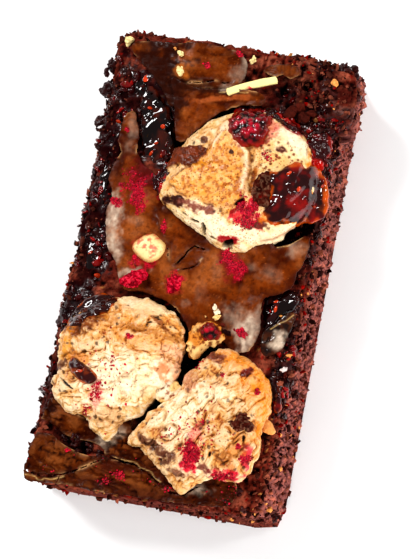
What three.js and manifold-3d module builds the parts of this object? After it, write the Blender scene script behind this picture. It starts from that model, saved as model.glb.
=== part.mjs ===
// Chocolate brownie bar topped with toasted marshmallows, jam, white chocolate and red berry pieces.
// Millimetres, +Z up. +Y runs along the bar, and the origin is under the middle of its flat base.
import * as THREE from "three";
import { ImprovedNoise } from "three/addons/math/ImprovedNoise.js";
import { mergeVertices } from "three/addons/utils/BufferGeometryUtils.js";
import Module from "manifold-3d";

const wasm = await Module();
wasm.setup();

// Driving dimensions of the bar
const BASE_HALF_WIDTH = 30;
const BASE_HALF_LENGTH = 55;
const CRUMB_TOP = 23.6; // mean height of the bare crumb on top
const RIM_CORNERS = {
  frontLeft: [-28.2, -54.4],
  frontRight: [26.6, -52.6],
  rearRight: [28.4, 53.8],
  rearLeft: [-26.2, 54.4],
};
const RIM_BULGE = 0.8; // how far the right rim bows out at mid length
const CORNER_PULL = 1.1; // how far each corner is rounded in
const RIM_DROP = 1.3; // how far the top rolls down at the rim
const SIDE_CRAG = 1.1; // depth of the crumb's crags on the sides
const TOP_CRAG = 0.6;

// Heights of what lies on the crumb
const SKIN_RISE = 1.5; // thin baked skin above the bare crumb
const SKIN_ROOT = 19;
const MARSHMALLOW_EDGE = 25.6;
const MARSHMALLOW_CROWN = 30.2;
const MARSHMALLOW_BOTTOM = 17.5;
const MARSHMALLOW_WRINKLE = 0.55;
const JAM_BOTTOM = 20.2;
const JAM_RIPPLE = 0.25;
const BIT_ROUGHNESS = 0.4;
const NEIGHBOUR_GAP = 0.4; // clear space kept between two pieces

// Mesh fineness
const TOP_COLUMNS = 22;
const TOP_ROWS = 38;
const SIDE_LEVELS = 5;
const LARGE = { around: 38, rings: 6 };
const MEDIUM = { around: 20, rings: 3 };
const SKIN = { around: 18, rings: 2 };
const SMALL = { around: 12, rings: 3 };
const CUT_TOP = 40; // a cut into the bar is open upwards to this height

// Hills and hollows of the crumb: middle x, middle y, radius, rise
const HILLS = [
  [21, 5, 8, 1.1], // dome right of the middle
  [-3, 48, 9, 0.9], // rear lobes
  [4, 0, 13, 0.8], // middle field
  [16, -7, 6, 0.8], // lobe between the marshmallows
  [-20, -47, 7, 0.6], // front left flap
  [-18, -43.3, 3, -2.4], // open trench across the front left
  [-14, 34, 7, -2.2], // jam pit at the rear left
  [22, 44, 6, -0.9], // bare crumb at the rear right
  [-28, 20, 9, -3], // torn left edge
  [-28, 0, 8, -3],
  [-29, 40, 8, -2.4],
  [-29, -22, 6, -2.2],
  [29, -8, 7, -1.4], // sagging right edge
  [28.5, -34, 6, -1.2],
];

// Outlines seen from above, as x and y of the points that a smooth closed curve runs through
const MARSHMALLOWS = {
  marshmallow_rear: {
    crown: MARSHMALLOW_CROWN,
    bottom: MARSHMALLOW_BOTTOM,
    outline: [
      [5, 37.8], [12.3, 38.9], [18, 37], [22, 34], [24.6, 29.5], [25.8, 24.5], [25.5, 19.5], [23.8, 14.5],
      [18.9, 9.7], [13, 7.2], [7.3, 6.9], [3, 9], [-2.5, 11.7], [-7, 14.9], [-8.7, 18], [-7.4, 22.5],
      [-6.2, 27.3], [-3, 31.6],
      [0.5, 35],
    ],
  },
  marshmallow_left: {
    crown: MARSHMALLOW_CROWN + 0.4,
    bottom: MARSHMALLOW_BOTTOM,
    outline: [
      [-14.6, -9.3], [-9, -7.9], [-3.1, -9.4], [0.8, -11.4], [2.7, -14.5], [3.2, -18.5], [1.9, -24.7],
      [-2.5, -31.6], [-6.4, -35.8], [-10.8, -40.6], [-15, -38], [-19.6, -36.6], [-24.3, -33.2],
      [-24.5, -27], [-25, -21.2], [-23.8, -16.3], [-20.4, -12.4],
    ],
  },
  marshmallow_right: {
    crown: MARSHMALLOW_CROWN + 0.2,
    bottom: MARSHMALLOW_BOTTOM,
    outline: [
      [11, -17.6], [15, -17.2], [19, -18.6], [22.4, -21.3], [24.6, -25], [24.8, -29], [23.9, -33.5],
      [24.6, -38], [23.2, -43.4], [19.6, -45.2], [15.6, -45], [12.6, -47.2], [9.2, -49.5], [6, -47.6],
      [2.6, -44.2], [-1.7, -41.3], [-4.6, -41.3], [-3.8, -38.2], [0, -32.3], [3, -28.6], [6.4, -23.3],
    ],
  },
};

// Jam and cooked berries: outline, height at the middle, height at the edge, height of the underside
const JAM_PIECES = {
  jam_rear_right: {
    outline: [
      [17.6, 24.6], [18.6, 26.6], [20.8, 28], [23.2, 28.2], [25, 29.3], [26.8, 27.8], [28, 25.6],
      [28.8, 23], [28.8, 20], [28, 17.4], [26.6, 16], [24.4, 15], [21.8, 13.8], [19.2, 13.4], [17.2, 14.2],
      [17.8, 16.2], [18, 19], [17.9, 22],
    ],
    crown: 31.4, edge: 27, bottom: 24.4,
  },
  jam_rear_left: {
    outline: [
      [-22.8, 46], [-21, 46.8], [-19, 45.6], [-17.7, 43.2], [-15.2, 41.4], [-12.9, 39.6], [-11.4, 37],
      [-9.8, 34.6], [-8.7, 31.4], [-8.4, 28], [-9, 25.6], [-10.8, 24], [-13.1, 23.6], [-15, 24.6],
      [-16.2, 26.8], [-16.1, 29.4], [-17.2, 32.2], [-18.6, 37.6], [-19.9, 40.8], [-21.8, 43.2],
    ],
    crown: 23.6, edge: 22.6, bottom: JAM_BOTTOM,
  },
  jam_left_edge: {
    outline: [
      [-23.6, 26], [-22.4, 24], [-22.4, 14], [-21.8, 4], [-20.4, -2], [-19.2, -7], [-22, -8], [-24, -2],
      [-25, 8],
      [-24.8, 18],
    ],
    crown: 21.8, edge: 21, bottom: 18.6,
  },
  jam_middle_right: {
    outline: [
      [19.6, -2.6], [22, -2], [25.2, -0.3], [27, -2], [26.4, -4.4], [23.6, -6.4], [22, -9.6], [20.6, -11.6],
      [19.6, -9],
    ],
    crown: 24.4, edge: 23.4, bottom: JAM_BOTTOM,
  },
  jam_front_right: {
    outline: [[25.4, -20.6], [26.8, -21.2], [27.6, -24.6], [27.4, -27.4], [26.2, -28], [25.7, -25]],
    crown: 24, edge: 22.8, bottom: JAM_BOTTOM,
  },
  jam_on_left_marshmallow: {
    outline: [
      [-23.2, -16.6], [-22.7, -13.6], [-20.6, -10.9], [-17.6, -9.2], [-14.6, -9.4], [-14.2, -12],
      [-17, -14.4],
      [-20.6, -17],
    ],
    crown: 29.4, edge: 27, bottom: 23.8,
  },
  jam_drop: {
    outline: [[-21.9, -25.4], [-20, -24.3], [-18, -25.2], [-15.4, -27.4], [-16.6, -29], [-19.8, -28.4]],
    crown: 30.6, edge: 29, bottom: 27,
  },
  cooked_berry_rear: {
    outline: [[4.6, 35.6], [7, 38.4], [11, 39], [13.4, 36], [13.2, 32.4], [11, 30.6], [8, 30.5], [5.4, 32.4]],
    crown: 31.8, edge: 28.6, bottom: 25.4,
  },
  cooked_berry_middle: {
    outline: [[6.4, -12.6], [8.4, -11.3], [10.8, -11.8], [11.6, -13.6], [9.6, -15], [7.2, -14.6]],
    crown: 29, edge: 27, bottom: 24.4,
  },
};

// Crumb lumps, white chocolate, a nut and freeze-dried berry chunks
const SOLID_BITS = {
  crumb_on_rear_marshmallow: {
    outline: [[13.2, 24.4], [15.6, 25.2], [17.2, 23], [17, 19.4], [16.6, 16.6], [14.4, 16.2], [12.6, 19.6]],
    crown: 31.4, edge: 29, bottom: 27,
  },
  crumb_on_right_marshmallow: {
    outline: [[17.5, -32.6], [19.2, -31], [20.6, -30], [23.1, -31.8], [22.4, -33.9], [19.6, -34.5]],
    crown: 31.2, edge: 29, bottom: 27.4,
  },
  white_chip: {
    outline: [[-13, 3], [-11.7, 5.6], [-8.8, 7.1], [-6, 5.9], [-4.9, 3.4], [-6.6, 1], [-9.8, 0.6]],
    crown: 27.6, edge: 25, bottom: 22.6,
  },
  nut_piece: {
    outline: [[24.6, -30.7], [25.8, -30.4], [27.6, -32.4], [26.8, -33.5], [24.9, -33.1]],
    crown: 26.2, edge: 25.2, bottom: 22.6,
  },
  berry_chunk_left: {
    outline: [[-14.4, -4.8], [-12, -3.2], [-9.6, -1.6], [-8.6, -3], [-10.6, -5.4], [-13.2, -6.4]],
    crown: 27.4, edge: 26, bottom: 23.8,
  },
  berry_chunk_middle: {
    outline: [[-3.4, -3], [-1.6, -1.2], [-0.2, -2.6], [-0.6, -5], [-2.8, -5.4]],
    crown: 27.6, edge: 26, bottom: 24,
  },
};

// Scrap of torn marshmallow crust between two marshmallows
const CRUST_SCRAPS = {
  marshmallow_scrap: {
    outline: [
      [4.2, -13.6], [6, -11.4], [9.4, -10.8], [12.2, -12.6], [11, -15], [8.2, -17], [6.8, -19], [5, -19.2],
      [4.4, -16.6],
    ],
    crown: 27.4, edge: 26, bottom: 22.5,
  },
};
const STICK = { from: [2.1, 42.4], to: [13.2, 47.2], width: 1.7, height: 1.3, underside: 25.5 };

// Raised fields and flaps of baked skin, joined to the bar
const SKIN_FIELDS = {
  rearLobes: [
    [-11.6, 47], [-9, 51.4], [-3, 52.4], [3, 51.8], [5.4, 48], [4, 44], [-2, 41], [-7, 41.4], [-11.8, 43],
  ],
  foldOverMarshmallow: [
    [-11.4, 40], [-4, 41], [4, 42.6], [10.6, 42.4], [9, 40.8], [3, 39.6], [-2, 36.4], [-5.8, 32],
    [-8, 31.4], [-10.4, 36],
  ],
  leftStrip: [
    [-20.6, 34], [-18.4, 33.6], [-17, 26], [-12.8, 20.6], [-14, 13], [-19, 15], [-21.6, 19], [-20.6, 26],
  ],
  leftOfMiddle: [
    [-20.6, 14], [-13, 16], [-4, 12.6], [0, 4], [-4, -6.2], [-12.6, -7.2], [-15.5, -2], [-18.4, 3.5],
    [-20.6, 10],
  ],
  middle: [
    [-3, 11.6], [4, 8.2], [8, 5], [12.8, 1], [19, -3.4], [19.4, -8.6], [17.6, -15], [13.4, -14.6],
    [6, -10.4], [-1, -8.8], [-4, 0],
  ],
  rightDome: [[13.6, 6.4], [21, 9.8], [26.8, 12], [27, 6.4], [25.6, 0.8], [21.6, -1.6], [17, 0.4], [14.2, 2.6]],
  glazedFold: [[21.2, -15], [21, -12.4], [22.4, -9.4], [26, -6], [27, -8.6], [25.6, -12.2], [23.6, -15]],
  frontLeft: [
    [-24.6, -36], [-19.2, -37.6], [-13, -41], [-8.3, -39.8], [-5.6, -41.8], [-12, -42.6], [-18, -42.2],
    [-24.4, -39.6],
  ],
  frontCorner: [
    [-26.2, -43.6], [-22.2, -43.6], [-17.4, -46], [-11, -46], [-15.4, -49.6], [-20, -51.8], [-26.2, -52],
  ],
  frontMiddle: [
    [-11, -44.6], [-4, -43], [1.4, -44.6], [5.6, -49], [9.3, -50.3], [14, -48], [20.6, -46.8],
    [20.4, -49.4], [14, -51.4], [3, -51.8], [-8, -51.8], [-13, -50.4], [-9, -46.4],
  ],
};

// Wide dark gaps beside the marshmallows, where the skin has pulled away: outline and floor height
const OPEN_GAPS = [
  {
    outline: [[-8, 30], [-4, 34.4], [0, 37.6], [6, 40.2], [12, 41], [12, 38], [4, 36], [-2, 31], [-6, 27]],
    bottom: 22.6,
  },
  { outline: [[17, 8], [22, 10.6], [26, 14.6], [25, 17], [20, 13], [17, 10]], bottom: 22.6 },
  {
    outline: [
      [-5.6, -39.6], [-2, -36], [2, -29], [6, -22.6], [10, -16.6], [14, -16], [13, -19], [6, -26], [0, -34],
    ],
    bottom: 21.6,
  },
  { outline: [[-12, -7.4], [-6, -6.6], [0, -8.6], [3.6, -12], [1, -14], [-6, -10]], bottom: 23 },
];

// Small white chips and tan bits set in the crumb: x, y, half width, height of the top
const SMALL_CHIPS = [
  [-22.8, 50.6, 1.5, 25.6],
  [-10.3, 50, 1.1, 26.4],
  [-9.7, 45.6, 1.6, 26.2],
  [26.4, -18.2, 0.9, 24.8],
  [26.2, 49, 1, 24.6],
  [27.2, -14.9, 0.8, 24.2],
];

// Torn lumps of crumb that stand out of the sides: x, y, z, radius
const SIDE_LUMPS = [
  [-27, 46, 20, 2.4], [-27.4, 39.6, 19, 2.4], [-27.4, 33.4, 19.6, 2.6], [-26.8, 20, 19, 2.4],
  [-26, 0, 18.6, 2.2], [-27.2, -15.6, 19.6, 2.4], [-27.4, -20, 17.6, 2.2], [-27.4, -33, 19.4, 2.2],
  [27.4, 50.8, 20, 3], [27.7, 46, 18.6, 2.8], [27.6, 40.6, 17.6, 2.6], [28.4, 28, 15, 1.8],
  [28.6, -9.6, 14, 1.7], [28.4, -23, 15, 1.7], [28.5, -51.6, 9, 1.8],
];
const LUMP_STRETCH = [0.8, 1.3, 1.2];

// Patches of crushed berry fused to the skin: middle x, middle y, spread, number of grains
const GRAIN_PATCHES = [[-15.6, 19.4, 3.2, 12], [9.8, 3.6, 2.6, 10], [-5.4, 11.4, 1.4, 4], [15.6, -9.6, 0.3, 1]];
const GRAIN_RADIUS = 0.75;
const GRAIN_SEED = 7;

// Colours, roughness
const FINISH = {
  crumb: [0x4a2418, 0.85],
  marshmallow: [0xf3dcae, 0.75],
  jam: [0x5a0a08, 0.15],
  cooked: [0x6a1420, 0.4],
  white: [0xead9a8, 0.45],
  nut: [0xd99a58, 0.6],
  berry: [0xb80f2e, 0.85],
};

const noise = new ImprovedNoise();

// Fractal noise of about -1 to 1 at a point, with lumps about `size` millimetres across
function fractal(x, y, z, size) {
  let sum = 0;
  for (const [octave, weight] of [[1, 0.65], [2.3, 0.35]]) {
    sum += weight * noise.noise((x * octave) / size, (y * octave) / size, (z * octave) / size);
  }
  return sum * 1.6;
}

// A repeatable draw between 0 and 1
function seededRandom(seed) {
  let state = seed;
  return () => {
    state = (state * 1664525 + 1013904223) % 4294967296;
    return state / 4294967296;
  };
}

// Height of the bare crumb over the whole top
function crumbHeight(x, y) {
  let height = CRUMB_TOP + TOP_CRAG * fractal(x, y, 3, 6);
  for (const [hillX, hillY, radius, rise] of HILLS) {
    const distance = Math.hypot(x - hillX, y - hillY) / radius;
    height += rise * Math.exp(-distance * distance);
  }
  return height;
}

function lerp(a, b, t) {
  return a + (b - a) * t;
}

// Point of a four-cornered plan at u and v, both from -1 to 1, with its corners rounded in
function planPoint(corners, u, v) {
  const across = (u + 1) / 2;
  const along = (v + 1) / 2;
  const frontX = lerp(corners.frontLeft[0], corners.frontRight[0], across);
  const frontY = lerp(corners.frontLeft[1], corners.frontRight[1], across);
  const rearX = lerp(corners.rearLeft[0], corners.rearRight[0], across);
  const rearY = lerp(corners.rearLeft[1], corners.rearRight[1], across);
  const near = (Math.max(0, Math.abs(u) - 0.8) / 0.2) * (Math.max(0, Math.abs(v) - 0.9) / 0.1);
  return [
    lerp(frontX, rearX, along) - Math.sign(u) * CORNER_PULL * near,
    lerp(frontY, rearY, along) - Math.sign(v) * CORNER_PULL * near,
  ];
}

// Point of the top, whose right rim bows out
function rimPoint(u, v) {
  const [x, y] = planPoint(RIM_CORNERS, u, v);
  return [x + RIM_BULGE * Math.max(0, u) * (1 - v * v), y];
}

const BASE_CORNERS = {
  frontLeft: [-BASE_HALF_WIDTH, -BASE_HALF_LENGTH],
  frontRight: [BASE_HALF_WIDTH, -BASE_HALF_LENGTH],
  rearRight: [BASE_HALF_WIDTH, BASE_HALF_LENGTH],
  rearLeft: [-BASE_HALF_WIDTH, BASE_HALF_LENGTH],
};

// Makes an indexed geometry from a list of points and a list of corner triples
function geometryFrom(points, triangles) {
  const geometry = new THREE.BufferGeometry();
  geometry.setAttribute("position", new THREE.Float32BufferAttribute(points.flat(), 3));
  geometry.setIndex(triangles.flat());
  return geometry;
}

// The bar itself: a gridded top, craggy leaning sides and a flat base
function slabGeometry() {
  const points = [];
  const triangles = [];
  const gridIndex = (column, row) => row * (TOP_COLUMNS + 1) + column;
  for (let row = 0; row <= TOP_ROWS; row += 1) {
    for (let column = 0; column <= TOP_COLUMNS; column += 1) {
      const u = (2 * column) / TOP_COLUMNS - 1;
      const v = (2 * row) / TOP_ROWS - 1;
      const [x, y] = rimPoint(u, v);
      const atRim = Math.abs(u) === 1 || Math.abs(v) === 1;
      points.push([x, y, crumbHeight(x, y) - (atRim ? RIM_DROP : 0)]);
    }
  }
  for (let row = 0; row < TOP_ROWS; row += 1) {
    for (let column = 0; column < TOP_COLUMNS; column += 1) {
      const a = gridIndex(column, row);
      const b = gridIndex(column + 1, row);
      const c = gridIndex(column + 1, row + 1);
      const d = gridIndex(column, row + 1);
      triangles.push([a, b, c], [a, c, d]);
    }
  }

  const border = [];
  for (let column = 0; column < TOP_COLUMNS; column += 1) border.push([column, 0]);
  for (let row = 0; row < TOP_ROWS; row += 1) border.push([TOP_COLUMNS, row]);
  for (let column = TOP_COLUMNS; column > 0; column -= 1) border.push([column, TOP_ROWS]);
  for (let row = TOP_ROWS; row > 0; row -= 1) border.push([0, row]);

  let upper = border.map(([column, row]) => gridIndex(column, row));
  for (let level = 1; level <= SIDE_LEVELS; level += 1) {
    const t = 1 - level / SIDE_LEVELS;
    const lower = border.map(([column, row], place) => {
      const u = (2 * column) / TOP_COLUMNS - 1;
      const v = (2 * row) / TOP_ROWS - 1;
      const base = planPoint(BASE_CORNERS, u, v);
      const rim = rimPoint(u, v);
      const z = t * points[gridIndex(column, row)][2];
      const x = lerp(base[0], rim[0], t);
      const y = lerp(base[1], rim[1], t);
      const inward = level === SIDE_LEVELS ? 0 : SIDE_CRAG * (0.4 + fractal(x + 9, y, z, 3.5));
      const outX = Math.abs(u) === 1 ? u : 0;
      const outY = Math.abs(v) === 1 ? v : 0;
      points.push([x - outX * inward, y - outY * inward, z]);
      return points.length - 1;
    });
    for (let k = 0; k < border.length; k += 1) {
      const next = (k + 1) % border.length;
      triangles.push([upper[k], lower[k], lower[next]], [upper[k], lower[next], upper[next]]);
    }
    upper = lower;
  }

  points.push([0, 0, 0]);
  const middle = points.length - 1;
  for (let k = 0; k < border.length; k += 1) triangles.push([upper[(k + 1) % border.length], upper[k], middle]);
  return geometryFrom(points, triangles);
}

// Points evenly spaced round a smooth closed curve through an outline, running anticlockwise
function smoothOutline(outline, count) {
  const corners = outline.map(([x, y]) => new THREE.Vector3(x, y, 0));
  const curve = new THREE.CatmullRomCurve3(corners, true, "centripetal");
  const points = curve.getSpacedPoints(count).slice(0, count).map((p) => new THREE.Vector2(p.x, p.y));
  return THREE.ShapeUtils.area(points) > 0 ? points : points.reverse();
}

// The same ring of points moved outwards by a distance, each along its own normal
function grownOutline(points, distance) {
  return points.map((p, k) => {
    const before = points[(k + points.length - 1) % points.length];
    const after = points[(k + 1) % points.length];
    const along = after.clone().sub(before).normalize();
    return new THREE.Vector2(p.x + distance * along.y, p.y - distance * along.x);
  });
}

function middleOf(points) {
  const sum = points.reduce((total, p) => total.add(p), new THREE.Vector2());
  return sum.divideScalar(points.length);
}

// A closed lump over an outline. top(x, y, s) and bottom(x, y) give its heights, where s runs from 0
// at the middle to 1 at the edge, and grow moves its whole surface outwards.
function lumpGeometry({ outline, fineness, top, bottom, underInset = 0.12, grow = 0 }) {
  const edge = grownOutline(smoothOutline(outline, fineness.around), grow);
  const middle = middleOf(edge);
  const points = [[middle.x, middle.y, top(middle.x, middle.y, 0) + grow]];
  const triangles = [];
  const addRing = (s, height) => {
    const first = points.length;
    for (const p of edge) {
      const x = lerp(middle.x, p.x, s);
      const y = lerp(middle.y, p.y, s);
      points.push([x, y, height(x, y, s)]);
    }
    return first;
  };
  const join = (inner, outer) => {
    for (let k = 0; k < edge.length; k += 1) {
      const next = (k + 1) % edge.length;
      triangles.push([inner + k, outer + k, outer + next], [inner + k, outer + next, inner + next]);
    }
  };
  let inner = null;
  for (let ring = 1; ring <= fineness.rings; ring += 1) {
    const s = Math.sin((ring / fineness.rings) * (Math.PI / 2));
    const outer = addRing(s, (x, y) => top(x, y, s) + grow);
    if (inner === null) {
      for (let k = 0; k < edge.length; k += 1) triangles.push([0, outer + k, outer + ((k + 1) % edge.length)]);
    } else {
      join(inner, outer);
    }
    inner = outer;
  }
  const under = addRing(1 - underInset, (x, y) => bottom(x, y) - grow);
  join(inner, under);
  points.push([middle.x, middle.y, bottom(middle.x, middle.y) - grow]);
  const last = points.length - 1;
  for (let k = 0; k < edge.length; k += 1) triangles.push([last, under + ((k + 1) % edge.length), under + k]);
  return geometryFrom(points, triangles);
}

// Straight-walled space that a topping takes out of what lies under it
function placeGeometry({ outline, bottom }, fineness, gap = NEIGHBOUR_GAP) {
  return lumpGeometry({
    outline,
    fineness: { around: fineness.around, rings: 1 },
    top: () => CUT_TOP,
    bottom: () => bottom,
    underInset: 0,
    grow: gap,
  });
}

// Turns a closed geometry into a solid for joining and cutting
function solidFrom(geometry) {
  const bare = geometry.clone();
  for (const name of ["normal", "uv"]) bare.deleteAttribute(name);
  const merged = mergeVertices(bare, 1e-4);
  return new wasm.Manifold(new wasm.Mesh({
    numProp: 3,
    vertProperties: new Float32Array(merged.attributes.position.array),
    triVerts: new Uint32Array(merged.index.array),
  }));
}

// Largest connected piece of a solid, so that a cut leaves no loose shard
function largestPiece(solid) {
  return solid.decompose().reduce((best, piece) => (piece.volume() > best.volume() ? piece : best));
}

function geometryOf(solid) {
  const mesh = solid.getMesh();
  const geometry = new THREE.BufferGeometry();
  geometry.setAttribute("position", new THREE.BufferAttribute(new Float32Array(mesh.vertProperties), 3));
  geometry.setIndex(new THREE.BufferAttribute(new Uint32Array(mesh.triVerts), 1));
  return geometry;
}

// Rounded lump with a flat underside, used for jam, crumb and chips
function roundedLump({ outline, crown, edge, bottom }, fineness, roughness) {
  return lumpGeometry({
    outline,
    fineness,
    top: (x, y, s) => {
      const swell = lerp(edge, crown, Math.sqrt(Math.max(0, 1 - s ** 2.6)));
      return swell + roughness * fractal(x, y, 11, 2.2);
    },
    bottom: () => bottom,
  });
}

// Puffed and collapsed marshmallow with a wrinkled crust
function marshmallowLump({ outline, crown, bottom }) {
  return lumpGeometry({
    outline,
    fineness: LARGE,
    top: (x, y, s) => {
      const puff = lerp(MARSHMALLOW_EDGE, crown, Math.max(0, 1 - s ** 3.2) ** 0.6);
      return puff + MARSHMALLOW_WRINKLE * fractal(x, y, 5, 4.5);
    },
    bottom: () => bottom,
  });
}

// Field of baked skin that lies over the crumb with a low step at its edge
function skinField(outline) {
  return lumpGeometry({
    outline,
    fineness: SKIN,
    top: (x, y, s) => crumbHeight(x, y) + SKIN_RISE * (0.55 + 0.45 * Math.sqrt(Math.max(0, 1 - s ** 2))),
    bottom: () => SKIN_ROOT,
  });
}

function stickGeometry(grow = 0) {
  const from = new THREE.Vector2(...STICK.from);
  const to = new THREE.Vector2(...STICK.to);
  const run = to.clone().sub(from);
  const [length, width, height] = [run.length(), STICK.width, STICK.height].map((size) => size + 2 * grow);
  const stick = new THREE.BoxGeometry(length, width, height);
  stick.rotateZ(run.angle());
  const middle = from.clone().add(to).multiplyScalar(0.5);
  stick.translate(middle.x, middle.y, STICK.underside + STICK.height / 2);
  return stick;
}

// Small rough ball of crumb, chip or berry, fused to the bar
function pebble(x, y, z, radius, { stretch = [1, 1, 1], detail = 1 } = {}) {
  const ball = new THREE.IcosahedronGeometry(radius, detail);
  const place = ball.attributes.position;
  for (let k = 0; k < place.count; k += 1) {
    const swell = 1 + 0.22 * fractal(place.getX(k) + x, place.getY(k) + y, place.getZ(k) + z, radius);
    place.setXYZ(k, place.getX(k) * swell, place.getY(k) * swell, place.getZ(k) * swell);
  }
  ball.scale(...stretch);
  ball.translate(x, y, z);
  return ball;
}

// Crushed berry grains on the skin, drawn by a fixed seed
function berryGrains() {
  const draw = seededRandom(GRAIN_SEED);
  const grains = [];
  for (const [patchX, patchY, spread, count] of GRAIN_PATCHES) {
    for (let k = 0; k < count; k += 1) {
      const angle = 2 * Math.PI * draw();
      const reach = spread * Math.sqrt(draw());
      const x = patchX + reach * Math.cos(angle);
      const y = patchY + reach * Math.sin(angle);
      const radius = GRAIN_RADIUS * (0.8 + 0.5 * draw());
      grains.push(pebble(x, y, crumbHeight(x, y) + SKIN_RISE, radius, { detail: 0 }));
    }
  }
  return grains;
}

// Raised parts that belong to the bar itself
function barAdditions() {
  const chips = SMALL_CHIPS.map(([x, y, half, top]) => pebble(x, y, top - half, half, { detail: 0 }));
  const lumps = SIDE_LUMPS.map(([x, y, z, radius]) => pebble(x, y, z, radius, { stretch: LUMP_STRETCH }));
  return [...Object.values(SKIN_FIELDS).map(skinField), ...chips, ...lumps, ...berryGrains()];
}

const finishOf = (name) => {
  if (name.startsWith("marshmallow")) return FINISH.marshmallow;
  if (name.startsWith("jam")) return FINISH.jam;
  if (name.startsWith("cooked")) return FINISH.cooked;
  if (name.startsWith("white")) return FINISH.white;
  if (name.startsWith("nut")) return FINISH.nut;
  if (name.startsWith("berry")) return FINISH.berry;
  return FINISH.crumb;
};

// Every topping, first the ones that lie uppermost. Each cuts its own place into all that follow it.
function toppings() {
  const stickPlace = solidFrom(stickGeometry(NEIGHBOUR_GAP));
  const list = [{ name: "white_stick", solid: solidFrom(stickGeometry()), place: stickPlace }];
  const addAll = (pieces, fineness, make) => {
    for (const [name, piece] of Object.entries(pieces)) {
      list.push({ name, solid: solidFrom(make(piece)), place: solidFrom(placeGeometry(piece, fineness)) });
    }
  };
  addAll(JAM_PIECES, MEDIUM, (piece) => roundedLump(piece, MEDIUM, JAM_RIPPLE));
  addAll(SOLID_BITS, SMALL, (piece) => roundedLump(piece, SMALL, BIT_ROUGHNESS));
  addAll(MARSHMALLOWS, LARGE, marshmallowLump);
  addAll(CRUST_SCRAPS, SMALL, (piece) => roundedLump(piece, SMALL, BIT_ROUGHNESS));
  return list;
}

function openGap({ outline, bottom }) {
  return lumpGeometry({
    outline,
    fineness: SMALL,
    top: () => CUT_TOP,
    bottom: () => bottom,
  });
}

const bar = new THREE.Group();

function addPiece(name, solid) {
  const [color, roughness] = finishOf(name);
  const material = new THREE.MeshStandardMaterial({ color, roughness, metalness: 0 });
  const mesh = new THREE.Mesh(geometryOf(solid), material);
  mesh.name = name;
  bar.add(mesh);
}

const placed = toppings();
placed.forEach((piece, order) => {
  let solid = piece.solid;
  for (const upper of placed.slice(0, order)) solid = solid.subtract(upper.place);
  addPiece(piece.name, largestPiece(solid));
});

let crumb = solidFrom(slabGeometry());
for (const addition of barAdditions()) crumb = crumb.add(solidFrom(addition));
for (const gap of OPEN_GAPS) crumb = crumb.subtract(solidFrom(openGap(gap)));
for (const piece of placed) crumb = crumb.subtract(piece.place);
addPiece("brownie", largestPiece(crumb));

export default bar;
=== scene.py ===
"""Looks of a chocolate brownie bar with toasted marshmallows, jam, white chocolate and dried berry.

Shapes are worked out in millimetres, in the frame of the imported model, and written to meshes in metres.
"""

import math

import bpy
import numpy as np
from mathutils import Matrix, Vector
from mathutils.kdtree import KDTree


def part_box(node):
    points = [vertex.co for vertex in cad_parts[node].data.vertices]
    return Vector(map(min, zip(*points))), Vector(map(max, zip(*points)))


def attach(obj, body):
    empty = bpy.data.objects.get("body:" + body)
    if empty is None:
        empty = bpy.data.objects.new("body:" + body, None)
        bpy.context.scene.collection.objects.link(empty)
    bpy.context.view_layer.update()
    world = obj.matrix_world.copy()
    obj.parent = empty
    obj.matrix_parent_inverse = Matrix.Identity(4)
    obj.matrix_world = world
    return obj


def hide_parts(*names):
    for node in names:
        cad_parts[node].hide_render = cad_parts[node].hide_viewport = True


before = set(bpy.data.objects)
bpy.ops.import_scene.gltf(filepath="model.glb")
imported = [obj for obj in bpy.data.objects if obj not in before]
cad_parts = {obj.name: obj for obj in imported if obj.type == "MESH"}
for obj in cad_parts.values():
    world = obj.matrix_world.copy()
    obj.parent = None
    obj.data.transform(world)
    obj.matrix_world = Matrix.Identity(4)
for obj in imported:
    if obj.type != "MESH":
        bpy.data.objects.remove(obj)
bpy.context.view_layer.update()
MM = 0.001

# Plan and heights of the bar, in millimetres
BASE_HALF_WIDTH = 30.0
BASE_HALF_LENGTH = 55.0
CRUMB_TOP = 23.6
RIM_FRONT_LEFT = (-28.2, -54.4)
RIM_FRONT_RIGHT = (26.6, -52.6)
RIM_REAR_RIGHT = (28.4, 53.8)
RIM_REAR_LEFT = (-26.2, 54.4)
RIM_BULGE = 0.8
RIM_DROP = 1.3
RIM_ROUNDING = 1.6
CORNER_PULL = 1.1
SKIN_RISE = 1.35
MARSHMALLOW_EDGE = 25.6
MARSHMALLOW_CROWN = 30.2
MARSHMALLOW_BOTTOM = 19.0
EDGE_SWELL = 0.35
SMEAR_BOTTOM = 21.5
SKIN_THICKNESS = 0.35
SKIN_RAGGED = 0.28
SEED_RADIUS = 0.55
STICK_START = (2.1, 42.4)
STICK_END = (13.2, 47.2)
STICK_HALF_WIDTH = 0.86
STICK_HALF_HEIGHT = 0.66
STICK_BOW = 0.25

# Fineness of the meshes, in millimetres or in counts
CRUMB_PITCH = 0.43
SKIN_PITCH = 0.22
MARSHMALLOW_AROUND = 480
MARSHMALLOW_RINGS = 150
LUMP_AROUND = 120
LUMP_RINGS = 36
STICK_STEPS = 60
STICK_SECTION = 28
CRUMB_COUNT = 4600
JAM_BIT_COUNT = 230
BALLS_IN_CHUNK = 9

# Hills and hollows of the crumb: middle x, middle y, radius, rise
HILLS = [
    (21, 5, 8, 1.1), (-3, 48, 9, 0.9), (4, 0, 13, 0.8), (16, -7, 6, 0.8), (-20, -47, 7, 0.6),
    (-18, -43.3, 3, -2.4), (-14, 34, 7, -2.2), (22, 44, 6, -0.9), (-28, 20, 9, -3.0), (-28, 0, 8, -3.0),
    (-29, 40, 8, -2.4), (-29, -22, 6, -2.2), (29, -8, 7, -1.4), (28.5, -34, 6, -1.2),
]

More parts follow.
